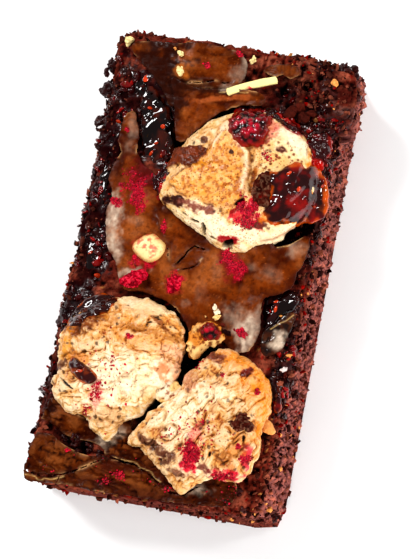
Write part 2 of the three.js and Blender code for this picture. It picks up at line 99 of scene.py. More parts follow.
# Outlines of the marshmallows, seen from above
MARSHMALLOW_REAR = [
    (5, 37.8), (12.3, 38.9), (18, 37), (22, 34), (24.6, 29.5), (25.8, 24.5), (25.5, 19.5), (23.8, 14.5),
    (18.9, 9.7), (13, 7.2), (7.3, 6.9), (3, 9), (-2.5, 11.7), (-7, 14.9), (-8.7, 18), (-7.4, 22.5),
    (-6.2, 27.3), (-3, 31.6), (0.5, 35),
]
MARSHMALLOW_LEFT = [
    (-14.6, -9.3), (-9, -7.9), (-3.1, -9.4), (0.8, -11.4), (2.7, -14.5), (3.2, -18.5), (1.9, -24.7),
    (-2.5, -31.6), (-6.4, -35.8), (-10.8, -40.6), (-15, -38), (-19.6, -36.6), (-24.3, -33.2), (-24.5, -27),
    (-25, -21.2), (-23.8, -16.3), (-20.4, -12.4),
]
MARSHMALLOW_RIGHT = [
    (11, -17.6), (15, -17.2), (19, -18.6), (22.4, -21.3), (24.6, -25), (24.8, -29), (23.9, -33.5),
    (24.6, -38), (23.2, -43.4), (19.6, -45.2), (15.6, -45), (12.6, -47.2), (9.2, -49.5), (6, -47.6),
    (2.6, -44.2), (-1.7, -41.3), (-4.6, -41.3), (-3.8, -38.2), (0, -32.3), (3, -28.6), (6.4, -23.3),
]


# Colours are given as they look on a screen, 0 to 255, and turned into linear light
def paint(red, green, blue):
    screen = np.array([red, green, blue]) / 255
    return np.where(screen <= 0.04045, screen / 12.92, ((screen + 0.055) / 1.055) ** 2.4)


CRUMB_DARK = paint(30, 7, 8)
CRUMB_BROWN = paint(94, 33, 22)
CRUMB_LIGHT = paint(160, 88, 66)
CRUMB_WET = paint(30, 3, 6)
CRUMB_WALL = paint(148, 92, 86)
CRUMB_PURPLE = paint(106, 52, 44)
SKIN_BROWN = paint(107, 46, 7)
SKIN_DEEP = paint(56, 12, 0)
SKIN_PALE = paint(160, 90, 42)
SKIN_EDGE = paint(222, 168, 112)
# Colour of the painted sheen: highlights painted onto the skin
SKIN_PAINTED_SHEEN = paint(200, 178, 156)
FILM_DARK = paint(46, 15, 6)
FRAGMENT_DARK = paint(30, 14, 10)
CREAM = paint(228, 188, 122)
CREST = paint(240, 222, 190)
GOLD = paint(218, 140, 48)
TOAST = paint(204, 128, 48)
CARAMEL = paint(150, 64, 12)
CHAR = paint(62, 28, 14)
JAM_DEEP = paint(44, 2, 3)
JAM_RED = paint(150, 12, 6)
JAM_AMBER = paint(206, 88, 8)
SEED_AMBER = paint(190, 56, 14)
BERRY = paint(202, 18, 52)
BERRY_DARK = paint(128, 4, 22)
WHITE_CHOCOLATE = paint(236, 212, 150)
NUT_TAN = paint(218, 148, 82)


# Noise

def hashed(cell, seed):
    """Repeatable numbers from 0 to 1 for whole-number cells."""
    cell = cell.astype(np.int64)
    x, y, z = np.moveaxis(cell, -1, 0)
    value = (x * 73856093) ^ (y * 19349663) ^ (z * 83492791) ^ (seed * 2654435761)
    value &= 0xFFFFFFFF
    for _ in range(2):
        value = ((value ^ (value >> 16)) * 0x45D9F3B) & 0xFFFFFFFF
    return (value ^ (value >> 16)) / 0xFFFFFFFF


def noise(points, size, seed):
    """Smooth noise of -1 to 1 whose lumps are about size across."""
    scaled = points / size + seed * 0.37
    low = np.floor(scaled)
    part = scaled - low
    part = part * part * part * (part * (part * 6 - 15) + 10)
    total = 0
    for corner in np.ndindex(2, 2, 2):
        weight = np.prod(np.where(corner, part, 1 - part), axis=-1)
        total = total + weight * hashed(low + corner, seed)
    return total * 2 - 1


def octaves_of(points, size, seed, octaves, gain, scale, shape):
    """Noise bent by a function and summed over ever finer octaves."""
    total, weight, reach = 0, 1.0, 0
    for octave in range(octaves):
        total = total + weight * shape(noise(points, size / 2.03**octave, seed + octave))
        reach += weight
        weight *= gain
    return scale * total / reach


def fractal(points, size, seed, octaves=4, gain=0.5):
    """Noise with finer noise on it, about -1 to 1."""
    return octaves_of(points, size, seed, octaves, gain, 1.4, lambda value: value)


def ridged(points, size, seed, octaves=4, gain=0.55):
    """Noise with sharp crests, 0 to 1."""
    return octaves_of(points, size, seed, octaves, gain, 1, lambda value: 1 - np.abs(value))


def billow(points, size, seed, octaves=2, gain=0.5):
    """Noise of rounded puffs parted by sharp creases, 0 in the creases and about 1 on the puffs."""
    return np.clip(octaves_of(points, size, seed, octaves, gain, 2.2, np.abs), 0, 1.2)


def cells(points, size, seed):
    """Distance to the nearest of scattered points, in cell sizes, and that point's number."""
    scaled = points / size
    home = np.floor(scaled)
    nearest = np.full(len(points), 9.0)
    number = np.zeros(len(points))
    for shift in np.ndindex(3, 3, 3):
        cell = home + shift - 1
        draw = hashed(cell, seed)
        place = cell + np.stack([draw, (draw * 57.31) % 1, (draw * 913.7) % 1], -1)
        gap = np.linalg.norm(place - scaled, axis=-1)
        number = np.where(gap < nearest, draw, number)
        nearest = np.minimum(nearest, gap)
    return nearest, number


def smoothstep(low, high, value):
    t = np.clip((value - low) / (high - low), 0, 1)
    return t * t * (3 - 2 * t)


def flat(x, y, z=0.0):
    """Points from plan coordinates, all at one height."""
    return np.stack([x, y, np.full(np.shape(x), float(z))], -1)


# Outlines and paths in plan

def smooth_loop(outline, count):
    """Evenly spaced points round a closed curve through an outline, anticlockwise."""
    knots = np.array(outline, float)
    steps = np.linspace(0, 1, 12, endpoint=False)[:, None]
    stretches = []
    for k in range(len(knots)):
        a, b, c, d = (knots[(k + shift) % len(knots)] for shift in (-1, 0, 1, 2))
        stretches.append(
            b + 0.5 * steps * (c - a + steps * (2 * a - 5 * b + 4 * c - d + steps * (3 * (b - c) + d - a)))
        )
    dense = np.concatenate(stretches)
    if signed_area(dense) < 0:
        dense = dense[::-1]
    ring = np.vstack([dense, dense[:1]])
    along = np.concatenate([[0], np.cumsum(np.linalg.norm(np.diff(ring, axis=0), axis=1))])
    wanted = np.linspace(0, along[-1], count, endpoint=False)
    return np.stack([np.interp(wanted, along, ring[:, axis]) for axis in (0, 1)], -1)


def signed_area(ring):
    after = np.roll(ring, -1, axis=0)
    return 0.5 * np.sum(ring[:, 0] * after[:, 1] - after[:, 0] * ring[:, 1])


def path_distance(xy, path, closed=False):
    """Distance from each point to a path."""
    path = np.asarray(path, float)
    ends = np.roll(path, -1, axis=0) if closed else path[1:]
    starts = path if closed else path[:-1]
    best = np.full(len(xy), 1e9)
    for a, b in zip(starts, ends):
        run = b - a
        t = np.clip((xy - a) @ run / max(run @ run, 1e-9), 0, 1)
        best = np.minimum(best, np.linalg.norm(xy - a - t[:, None] * run, axis=1))
    return best


def inside(xy, ring):
    """Whether each point lies in a closed ring."""
    odd = np.zeros(len(xy), bool)
    for a, b in zip(ring, np.roll(ring, -1, axis=0)):
        crosses = (a[1] > xy[:, 1]) != (b[1] > xy[:, 1])
        rise = b[1] - a[1] if abs(b[1] - a[1]) > 1e-9 else 1e-9
        odd ^= crosses & (xy[:, 0] < a[0] + (xy[:, 1] - a[1]) * (b[0] - a[0]) / rise)
    return odd


def loop_distance(xy, outline, count=72):
    """Signed distance to a smooth closed outline, negative inside. Far points only get a large number."""
    ring = smooth_loop(outline, count)
    far = 6.0
    result = np.full(len(xy), far)
    low, high = ring.min(0) - far, ring.max(0) + far
    near = np.all((xy > low) & (xy < high), axis=1)
    gap = path_distance(xy[near], ring, closed=True)
    result[near] = np.where(inside(xy[near], ring), -gap, gap)
    return result


def in_oval(x, y, middle_x, middle_y, half_x, half_y, turn):
    """Place along and across a turned oval, where 1 is its edge."""
    angle = math.radians(turn)
    dx, dy = x - middle_x, y - middle_y
    along = (dx * math.cos(angle) + dy * math.sin(angle)) / half_x
    across = (-dx * math.sin(angle) + dy * math.cos(angle)) / half_y
    return along, across


def blot(points, x, y, half_x, half_y, turn, soft, ragged, seed):
    """A mask of 0 to 1 over an oval with a ragged soft edge."""
    reach = np.hypot(*in_oval(points[:, 0], points[:, 1], x, y, half_x, half_y, turn))
    near = reach < 2.5
    mask = np.zeros(len(points))
    edge = ragged * fractal(points[near], 1.6, seed, 3)
    mask[near] = 1 - smoothstep(1 - soft, 1 + soft, reach[near] + edge)
    return mask


def masks(points, patches, seed, soft=0.5, ragged=0.5):
    """The highest of several ragged ovals at each point: middle, half sizes, turn and strength."""
    mask = np.zeros(len(points))
    for number, (*oval, amount) in enumerate(patches):
        mask = np.maximum(mask, amount * blot(points, *oval, soft, ragged, seed + number))
    return mask


def leaned(points, turn, stretch):
    """Points turned in plan and drawn out along one direction, for noise with a grain."""
    angle = math.radians(turn)
    along = points[:, 0] * math.cos(angle) + points[:, 1] * math.sin(angle)
    across = points[:, 1] * math.cos(angle) - points[:, 0] * math.sin(angle)
    return np.stack([along / stretch, across, 0.6 * points[:, 2]], -1)


def mix(tint, colour, mask):
    """tint with a colour laid over it where the mask is 1."""
    return tint + (colour - tint) * mask[:, None]


def layered(tint, *layers):
    """tint with pairs of a colour and its mask laid over it in turn."""
    for colour, mask in layers:
        tint = mix(tint, colour, mask)
    return tint


def painted(points, colour, *layers):
    """One colour at every point, with pairs of a colour and its mask laid over it in turn."""
    return layered(np.tile(colour, (len(points), 1)), *layers)


# Heights shared by all that lies on the bar

def crumb_height(x, y):
    height = np.full(np.shape(x), CRUMB_TOP)
    for hill_x, hill_y, radius, rise in HILLS:
        height = height + rise * np.exp(-((x - hill_x) ** 2 + (y - hill_y) ** 2) / radius**2)
    return height


def plan_point(corners, u, v):
    """Plan position at u and v, both -1 to 1, in a four-cornered plan with rounded corners."""
    front_left, front_right, rear_right, rear_left = (np.array(corner) for corner in corners)
    across, along = (u[:, None] + 1) / 2, (v[:, None] + 1) / 2
    front = front_left + (front_right - front_left) * across
    rear = rear_left + (rear_right - rear_left) * across
    near = np.clip(np.abs(u) - 0.8, 0, 1) / 0.2 * np.clip(np.abs(v) - 0.9, 0, 1) / 0.1
    return front + (rear - front) * along - CORNER_PULL * near[:, None] * np.sign(np.stack([u, v], -1))


def rim_point(u, v):
    plan = plan_point((RIM_FRONT_LEFT, RIM_FRONT_RIGHT, RIM_REAR_RIGHT, RIM_REAR_LEFT), u, v)
    plan[:, 0] += RIM_BULGE * np.clip(u, 0, 1) * (1 - v * v)
    return plan


# Meshes

def make_object(name, points, faces, tint, wet, material, smooth=True, pores=0.0):
    """A mesh object from points in millimetres, with its colour, pores and wetness stored at each point."""
    mesh = bpy.data.meshes.new(name)
    faces = [np.asarray(part, np.int32) for part in faces]
    corner_total = sum(part.size for part in faces)
    face_total = sum(len(part) for part in faces)
    mesh.vertices.add(len(points))
    mesh.loops.add(corner_total)
    mesh.polygons.add(face_total)
    mesh.vertices.foreach_set("co", (np.asarray(points) * MM).astype(np.float32).ravel())
    mesh.loops.foreach_set("vertex_index", np.concatenate([part.ravel() for part in faces]))
    sizes = np.concatenate([np.full(len(part), part.shape[1]) for part in faces])
    mesh.polygons.foreach_set("loop_start", np.concatenate([[0], np.cumsum(sizes)[:-1]]).astype(np.int32))
    mesh.polygons.foreach_set("use_smooth", np.full(face_total, smooth))
    mesh.update(calc_edges=True)
    mesh.validate()
    colour = mesh.attributes.new("tint", "FLOAT_COLOR", "POINT")
    rgba = np.ones((len(points), 4), np.float32)
    rgba[:, :3] = np.clip(tint, 0, 1)
    rgba[:, 3] = pores
    colour.data.foreach_set("color", rgba.ravel())
    wetness = mesh.attributes.new("wet", "FLOAT", "POINT")
    wetness.data.foreach_set("value", np.clip(wet, 0, 1).astype(np.float32))
    mesh.materials.append(material)
    piece = bpy.data.objects.new(name, mesh)
    bpy.context.scene.collection.objects.link(piece)
    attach(piece, "root")
    return piece


def grid_normals(points, rows, columns, wrap):
    """Normals of a grid of points, from the differences along its rows and columns."""
    grid = points.reshape(rows, columns, 3)
    if wrap:
        across = np.roll(grid, -1, axis=1) - np.roll(grid, 1, axis=1)
    else:
        across = np.gradient(grid, axis=1)
    along = np.gradient(grid, axis=0)
    normal = np.cross(across, along)
    length = np.linalg.norm(normal, axis=-1, keepdims=True)
    return (normal / np.maximum(length, 1e-9)).reshape(-1, 3)


def ring_faces(rows, columns):
    """Quads between neighbouring rings of a wrapped grid."""
    row, column = np.meshgrid(np.arange(rows - 1), np.arange(columns), indexing="ij")
    after = (column + 1) % columns
    quads = [row * columns + column, (row + 1) * columns + column, (row + 1) * columns + after,
             row * columns + after]
    return np.stack(quads, -1).reshape(-1, 4)


def push_out(points, amount):
    """Moves points in plan away from their middle."""
    from_middle = points[:, :2] - points[:, :2].mean(0)
    length = np.linalg.norm(from_middle, axis=1, keepdims=True)
    points[:, :2] += amount[:, None] * from_middle / np.maximum(length, 1)


def puff_normals(points, rings, around):
    """Normals of rings of points, turned upward on the whole."""
    normals = grid_normals(points, rings, around, wrap=True)
    return normals * np.where(normals[:, 2:3].mean() < 0, -1, 1)


def closed_rings(points, rings, around):
    """Points and faces of a body made of rings, with a cap under the last one."""
    last = (rings - 1) * around + np.arange(around)
    cap = np.stack([last, np.roll(last, -1), np.full(around, len(points))], -1)
    return np.vstack([points, points[last].mean(0)]), [ring_faces(rings, around)[:, ::-1], cap]


# Materials

def feed(tree, node, sources):
    """Gives sockets of a shader node their values, or links them to other nodes' outputs."""
    for socket, source in sources.items():
        if isinstance(source, bpy.types.NodeSocket):
            tree.links.new(source, node.inputs[socket])
        else:
            node.inputs[socket].default_value = source


def add_node(tree, kind, sources, operation=None):
    node = tree.nodes.new("ShaderNode" + kind)
    if operation:
        node.operation = operation
    feed(tree, node, sources)
    return node


def attribute_node(tree, name):
    node = add_node(tree, "Attribute", {})
    node.attribute_name = name
    return node


def map_range(tree, source, to_min, to_max, from_min=0.0, from_max=1.0):
    limits = {"From Min": from_min, "From Max": from_max, "To Min": to_min, "To Max": to_max}
    return add_node(tree, "MapRange", {**limits, "Value": source}).outputs["Result"]


def food_material(name, rough, gloss, mottle, mottle_scale, bump, bump_scale, bump_detail, pore_scale,
                  coat=0.0):
    """Colour, pores and wetness from the mesh, with fine mottling and a fine bump on top.

    rough and gloss each hold the value of the dry and of the wet surface.
    """
    material = bpy.data.materials.new(name)
    material.use_nodes = True
    tree = material.node_tree
    place = add_node(tree, "TexCoord", {}).outputs["Object"]
    colour, wetness = attribute_node(tree, "tint"), attribute_node(tree, "wet").outputs["Fac"]
    specks = add_node(tree, "TexNoise", {"Vector": place, "Scale": mottle_scale, "Detail": 4.0,
                                         "Roughness": 0.6})
    strength = map_range(tree, specks.outputs["Fac"], 1 - mottle, 1 + mottle, 0.3, 0.7)
    shade = add_node(tree, "VectorMath", {0: colour.outputs["Color"], "Scale": strength}, "SCALE")
    spots = add_node(tree, "TexVoronoi", {"Vector": place, "Scale": pore_scale})
    open_pore = map_range(tree, spots.outputs["Distance"], 1, 0, 0.14, 0.34)
    hole = add_node(tree, "Math", {0: open_pore, 1: colour.outputs["Alpha"]}, "MULTIPLY").outputs[0]
    browned = add_node(tree, "VectorMath", {0: hole, 1: (-0.6, -0.8, -0.92), 2: (1.0, 1.0, 1.0)},
                       "MULTIPLY_ADD")
    base = add_node(tree, "VectorMath", {0: shade.outputs["Vector"], 1: browned.outputs["Vector"]},
                    "MULTIPLY")
    grain = {"Vector": place, "Scale": bump_scale, "Detail": bump_detail, "Roughness": 0.5}
    grain = add_node(tree, "TexNoise", grain).outputs["Fac"]
    height = add_node(tree, "Math", {0: hole, 1: -0.8, 2: grain}, "MULTIPLY_ADD").outputs[0]
    relief = add_node(tree, "Bump", {"Strength": 1.0, "Distance": bump, "Height": height})
    feed(tree, tree.nodes["Principled BSDF"], {
        "Base Color": base.outputs["Vector"],
        "Roughness": map_range(tree, wetness, *rough),
        "Specular IOR Level": map_range(tree, wetness, *gloss),
        "Normal": relief.outputs["Normal"],
        "Coat Weight": coat,
        "Coat Roughness": 0.04,
    })
    return material


MATERIALS = {
    # name, roughness, gloss, mottling and its scale, bump and its scale and detail, scale of the pores
    "crumb": food_material("baked_crumb", (0.8, 0.07), (0.02, 0.4), 0.5, 1100, 0.0002, 850, 2.0, 1300),
    "skin": food_material("baked_skin", (0.5, 0.12), (0.01, 0.35), 0.22, 1100, 0.00004, 700, 1.0, 1600),
    "marshmallow": food_material(
        "toasted_marshmallow", (0.6, 0.15), (0.0, 0.45), 0.1, 1300, 0.00006, 1500, 1.5, 1450),
    "jam": food_material("berry_jam", (0.2, 0.05), (0.2, 0.45), 0.25, 500, 0.00003, 350, 0.0, 1300,
                         coat=0.35),
    "chocolate": food_material(
        "white_chocolate", (0.5, 0.3), (0.2, 0.4), 0.05, 800, 0.00003, 1500, 1.0, 1500),
    "powder": food_material("dried_berry", (0.9, 0.4), (0.05, 0.3), 0.35, 2500, 0.0001, 3000, 1.0, 1500),
    "seed": food_material("jam_seed", (0.25, 0.12), (0.3, 0.6), 0.3, 1200, 0.00002, 1500, 1.0, 1500,
                          coat=0.4),
}


# The bar of crumb

WET_PATCHES = [
    # middle x, middle y, half width, half length, turn, wetness
    (-23.5, 30, 4.5, 16, 0, 0.9), (-23.5, 6, 4.5, 14, 3, 0.95), (-24, -14, 4, 9, 5, 0.9),
    (-26, -30, 3, 9, 3, 0.5), (-14, 33, 7, 13, 35, 1.0), (24.5, 33, 5.5, 9, -8, 0.95), (22, 38, 5, 5, 0, 0.8),
    (27, 17, 3, 12, 0, 0.6), (23.5, -5, 4.5, 7, 10, 0.9), (23, 44, 7, 10, 10, 0.45),
    (17, 43.4, 7, 3.4, -8, 0.5), (20, 38.6, 6, 2.4, -20, 0.9), (26, -24, 3.5, 6, 0, 0.85),
    (-17, -43.5, 3, 2, 0, 0.5), (26.6, -14, 3, 5, 0, 0.5),
]
DEEP_GAPS = [
    # outline and floor height of a hollow beside a marshmallow
    ([(-9.6, 29.4), (-7, 32.8), (-3.6, 36.2), (0.6, 39), (5, 40.2), (10.4, 40.6), (11, 39), (4, 36), (-2, 31),
     (-6, 26)], 19.6),
    ([(20, 8.8), (23.4, 10.2), (26.6, 13.4), (27.2, 16.6), (25, 17), (22, 13.4), (19.4, 10.4)], 20.4),
    ([(-5, -39.4), (-4.8, -36), (-3, -32), (1.2, -26), (2.6, -20), (5.4, -17), (8.4, -15.8), (11, -17),
     (7.4, -23), (3.8, -28), (0.8, -32), (-3, -38.4)], 19.2),
    ([(-9, -7.6), (-6, -7.8), (-2.6, -8.8), (0.8, -10.3), (2.7, -12.2), (3.8, -14.6), (2.4, -15), (0, -12),
     (-5, -9.6)], 21.4),
    ([(-9.6, 14), (-7.4, 11.6), (-3, 9), (3, 6.2), (6, 5.6), (6, 8), (0, 11), (-6, 15)], 22.2),
]
ROUND_HOLES = [(14.7, 45.5, 1.3), (20.0, 47.4, 1.5), (18.3, 51.5, 1.0), (22.4, 49.7, 0.8),
               (-15.6, -44.0, 1.4)]


def crumb_relief(points):
    """Height of open crumb above its mean: rounded clumps parted by dark crevices, and round pores."""
    clumps = billow(points, 2.7, 11, 3, 0.6) - 0.5
    near, number = cells(points, 1.9, 23)
    pores = (number > 0.6) * (1 - smoothstep(0.15, 0.45, near))
    grit, _ = cells(points, 0.85, 29)
    return 0.9 * clumps - 0.7 * pores + 0.3 * (0.5 - grit)


def crumb_tint(points, relief, wet):
    """Colours of the crumb: painted shade in its crevices, painted light on its crests, with reddish and tan
    flecks.
    """
    shade = fractal(points, 5, 31, 3)
    fleck = hashed(np.floor(points / 0.6), 37)
    return painted(
        points, CRUMB_BROWN,
        (CRUMB_DARK, 0.75 * smoothstep(-0.1, 0.7, shade)),
        (CRUMB_LIGHT, 0.6 * smoothstep(0.05, 0.5, relief) * smoothstep(0.5, -0.5, shade)),
        (CRUMB_DARK * 0.4, smoothstep(0.02, -0.42, relief)),
        (NUT_TAN * 0.6, 0.7 * (fleck > 0.992)),
        (JAM_RED * 0.8, 0.7 * ((fleck > 0.955) & (fleck < 0.975))),
        (CRUMB_WET, 0.9 * smoothstep(0.1, 0.7, wet)),
    )


# Share of the columns and the place across the bar that it reaches: most columns lie where bare crumb shows
COLUMN_SPACING = ([0, 0.2, 0.42, 1], [-1, -0.68, 0.2, 1])
# Middle along the bar and upward, half sizes and push of the torn corner
REAR_RIGHT_BULGE = (46.5, 17, 9.5, 9, 2.9)


def rim_loop(rows, columns):
    """Numbers of the points round a grid, in order."""
    wide = columns + 1
    return np.concatenate([
        np.arange(columns), np.arange(rows) * wide + columns,
        rows * wide + np.arange(columns, 0, -1), np.arange(rows, 0, -1) * wide,
    ])


def bar_top(u, v):
    """Points of the top of the bar, and how deep each lies in a gap beside a marshmallow."""
    plan = rim_point(u, v)
    height = crumb_height(plan[:, 0], plan[:, 1])
    from_rim = np.minimum((1 - np.abs(u)) * BASE_HALF_WIDTH, (1 - np.abs(v)) * BASE_HALF_LENGTH)
    height -= RIM_DROP * (1 - smoothstep(-0.4, RIM_ROUNDING, from_rim))
    shadowed = np.zeros(len(plan))
    for outline, floor in DEEP_GAPS:
        depth = smoothstep(0.5, -0.7, loop_distance(plan, outline, 40))
        height += (floor - height) * depth
        shadowed = np.maximum(shadowed, depth)
    for outline in (MARSHMALLOW_REAR, MARSHMALLOW_LEFT, MARSHMALLOW_RIGHT):
        height -= 3 * smoothstep(-0.2, -2.5, loop_distance(plan, outline))
    return np.column_stack([plan, height]), shadowed


def bar_sides(rim, u, v, levels):
    """Rings of points from the rim down to the base."""
    wide, long = BASE_HALF_WIDTH, BASE_HALF_LENGTH
    base = plan_point(((-wide, -long), (wide, -long), (wide, long), (-wide, long)), u, v)
    shares = 1 - np.arange(1, levels + 1) / levels
    return np.concatenate([np.column_stack([base + (rim[:, :2] - base) * t, rim[:, 2] * t]) for t in shares])


def bar_normals(top, sides, loop, outward, rows, columns, levels):
    """Outward normals of the top and of the sides, joined at the rim."""
    top_normals = grid_normals(top, rows + 1, columns + 1, wrap=False)
    side_normals = grid_normals(np.vstack([top[loop], sides]), levels + 1, len(loop), wrap=True)
    side_normals *= np.sign(np.sum(side_normals * np.tile(outward, (levels + 1, 1)), 1))[:, None]
    top_normals[loop] += side_normals[: len(loop)]
    top_normals[loop] /= np.linalg.norm(top_normals[loop], axis=1, keepdims=True)
    return np.vstack([top_normals, side_normals[len(loop) :]])


def bar_faces(top_count, loop, rows, columns, levels):
    """Faces of the top, of the sides and of the underside, which meet in one added point."""
    row, column = np.meshgrid(np.arange(rows), np.arange(columns), indexing="ij")
    corner = (row * (columns + 1) + column).ravel()
    top_quads = np.stack([corner, corner + 1, corner + columns + 2, corner + columns + 1], -1)
    around = len(loop)
    rings = np.vstack([loop, top_count + np.arange(levels * around).reshape(levels, around)])
    upper, lower = rings[:-1], rings[1:]
    side_quads = np.stack([upper, lower, np.roll(lower, -1, 1), np.roll(upper, -1, 1)], -1).reshape(-1, 4)
    under = np.stack([np.roll(rings[-1], -1), rings[-1], np.full(around, top_count + levels * around)], -1)
    return [top_quads, side_quads, under]


def bar_relief(points):
    """Open crumb on top, and on the sides the finer crumb of a cut, drawn out upward."""
    relief = crumb_relief(points)
    strands = billow(points * (1, 1, 0.55), 1.7, 71, 3, 0.65) - 0.5
    cut_relief = 1.3 * strands + 0.3 * fractal(points, 0.7, 73, 2)
    return relief + (cut_relief - relief) * smoothstep(21.5, 18, points[:, 2])


def round_holes(points):
    """Depth, 0 to 1, of the round holes in the bare crumb."""
    holes = np.zeros(len(points))
    for x, y, radius in ROUND_HOLES:
        reach = np.hypot(points[:, 0] - x, points[:, 1] - y) / radius
        holes = np.maximum(holes, (1 - smoothstep(0.55, 1.05, reach)) * (points[:, 2] > 20))
    return holes


def rear_right_bulge(points):
    """How far the torn rear right corner stands out at each point."""
    bulge_y, bulge_z, half_y, half_z, push = REAR_RIGHT_BULGE
    reach = np.hypot((points[:, 1] - bulge_y) / half_y, (points[:, 2] - bulge_z) / half_z)
    reach = reach + 0.25 * fractal(points, 3, 57, 3)
    return push * smoothstep(1.05, 0.75, reach) * smoothstep(25, 28, points[:, 0])


def bar_tint(points, relief, wet, front_cut):
    """Colours of the bar: dark crumb, a paler speckled wall at the right with painted light on its crests,
    and a dark purple cut in front.
    """
    wall = smoothstep(22, 17, points[:, 2]) * smoothstep(-20, 10, points[:, 0])
    speckle = fractal(points, 0.9, 67, 3)
    return layered(
        crumb_tint(points, relief, wet),
        # On the wall, paler colour on the crests of the crumb is painted light; the dark speckles are random
        (CRUMB_WALL, 0.8 * wall * smoothstep(-0.35, 0.35, relief + 0.6 * speckle) * (1 - front_cut)),
        (CRUMB_DARK, 0.85 * wall * smoothstep(0.05, 0.4, -speckle)),
        (CRUMB_LIGHT * 1.25, 0.7 * wall * smoothstep(0.28, 0.5, speckle) * smoothstep(0, 0.3, relief)),
        (CRUMB_PURPLE, 0.75 * front_cut),
    )


def build_crumb():
    """The bar as one closed mesh."""
    columns = round(2 * BASE_HALF_WIDTH * 0.9 / CRUMB_PITCH)
    rows = round(2 * BASE_HALF_LENGTH * 0.97 / CRUMB_PITCH)
    levels = round(CRUMB_TOP / CRUMB_PITCH)
    row, column = np.meshgrid(np.arange(rows + 1), np.arange(columns + 1), indexing="ij")
    u = np.interp(column / columns, *COLUMN_SPACING).ravel()
    v = (2 * row / rows - 1).ravel()
    loop = rim_loop(rows, columns)
    top, shadowed = bar_top(u, v)
    sides = bar_sides(top[loop], u[loop], v[loop], levels)
    normals = bar_normals(top, sides, loop, flat(u[loop], v[loop]), rows, columns, levels)

    points = np.vstack([top, sides])
    wet = masks(points, WET_PATCHES, 40, 0.3, 0.4) * smoothstep(14, 22, points[:, 2])
    front_cut = smoothstep(-52, -54, points[:, 1]) * smoothstep(23, 21, points[:, 2])
    relief = bar_relief(points) * (1 - 0.5 * front_cut)
    holes = round_holes(points)
    bulge = rear_right_bulge(points)
    lift = (relief - 1.6 * holes - 0.3) * smoothstep(0, 1.2, points[:, 2])
    # Painted shade: the round holes and the gaps beside the marshmallows are painted near black
    holes[: len(top)] = np.maximum(holes[: len(top)], shadowed)
    tint = mix(bar_tint(points, relief, wet, front_cut), CRUMB_DARK * 0.12, holes)
    wet = wet * (1 - holes) * smoothstep(-0.35, 0.15, fractal(points, 2.6, 39, 3))
    points = points + normals * lift[:, None]
    points[:, 0] += bulge
    points[:, 2] = np.maximum(points[:, 2], 0)

    faces = bar_faces(len(top), loop, rows, columns, levels)
    piece = make_object("crumb_bar", np.vstack([points, [[0, 0, 0]]]), faces, np.vstack([tint, CRUMB_BROWN]),
                        np.append(wet, 0), MATERIALS["crumb"], pores=0.6)
    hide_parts("brownie")
    return points, normals, wet


# Baked skin

SKIN_MIDDLE = [
    [(-21.2, 33.6), (-19.4, 35.2), (-18, 33), (-16.8, 29), (-16.4, 25.6), (-15, 23.4), (-12, 21.6), (-9, 20),
     (-6, 18), (-2, 14.5), (4, 12), (10, 9.6), (14, 9), (17, 9.6), (21.1, 10), (25.6, 12.6), (27.4, 11.6),
     (27.2, 6.4), (26, 3.6), (25.4, 0.6), (22.6, -1.8), (19.6, -3.3), (19.5, -7.2), (19.9, -10.6),
     (18.6, -15.1), (16.2, -16.4), (13.6, -16), (11.6, -14), (8, -12), (5, -14), (2.6, -13), (0.4, -9.4),
     (-4, -7.4), (-9.4, -6.4), (-12.6, -6.9), (-15, -4.3), (-15.8, -1.6), (-17.6, 0.9), (-19.4, 3.5),
     (-20.6, 8.7), (-20.9, 11.5), (-20.2, 14.3), (-21.3, 16.9), (-22.4, 19.3), (-21.6, 22.6), (-20.3, 25.4),
     (-21.8, 27.6)],
    [(20.9, -14.9), (20.6, -12.1), (21.2, -10), (23, -8.3), (24.8, -6), (26.8, -5.2), (27.2, -6.5),
     (26.7, -8.9), (26, -12.1), (24.8, -14.6), (22.6, -16)],
]
SKIN_REAR = [
    [(-22.6, 49.8), (-20.4, 51.6), (-13, 52.2), (-6, 53.2), (1.3, 52.6), (4.9, 50.8), (5.4, 46.6), (3, 43.6),
     (-3, 42.6), (-8.6, 41.6), (-9.6, 38), (-11.4, 38), (-13, 40.4), (-16, 43.8), (-19.6, 46.6)],
    [(9.4, 49), (11.2, 50.8), (13.4, 51), (15, 51.4), (17.2, 50.9), (17.8, 49.2), (16.2, 48), (14, 48.6),
     (12, 47.8)],
]
SKIN_FOLD = [
    [(-11.4, 43.6), (-8, 42.9), (-3, 42.4), (2.2, 43.2), (6.4, 43.6), (10.7, 43.2), (10.9, 40.7), (6.4, 40),
     (2.6, 38.2), (-0.7, 35.4), (-3.6, 32.2), (-5.4, 29.8), (-7.6, 29.6), (-8.8, 33.4), (-9.8, 37.5)],
]
SKIN_FRONT = [
    [(-25.2, -34.4), (-21, -33.4), (-12, -33.4), (-6, -33.4), (-5.2, -37.8), (-3.6, -39.2), (2, -40),
     (8, -44), (10, -46.4), (14, -44.4), (19, -44.4), (21.4, -46.4), (21.3, -49.2), (18.6, -51.4),
     (11, -52.4), (4.1, -52.8), (-1.6, -53), (-7.7, -53.3), (-13, -53.4), (-17, -53.2), (-22.5, -53.6),
     (-27.6, -53.4), (-27.8, -48), (-27, -43), (-26.2, -38)],
]
TRENCH = [
    (-27.4, -39.6), (-25, -39.7), (-22.8, -40.6), (-20.4, -41.9), (-17.4, -42.5), (-14.4, -42.5),
    (-11.4, -43.2), (-10.2, -44.6), (-11.4, -45.4), (-14.6, -45.7), (-17.8, -45.1), (-20.6, -43.9),
    (-23.4, -42.5), (-27.4, -42.4),
]
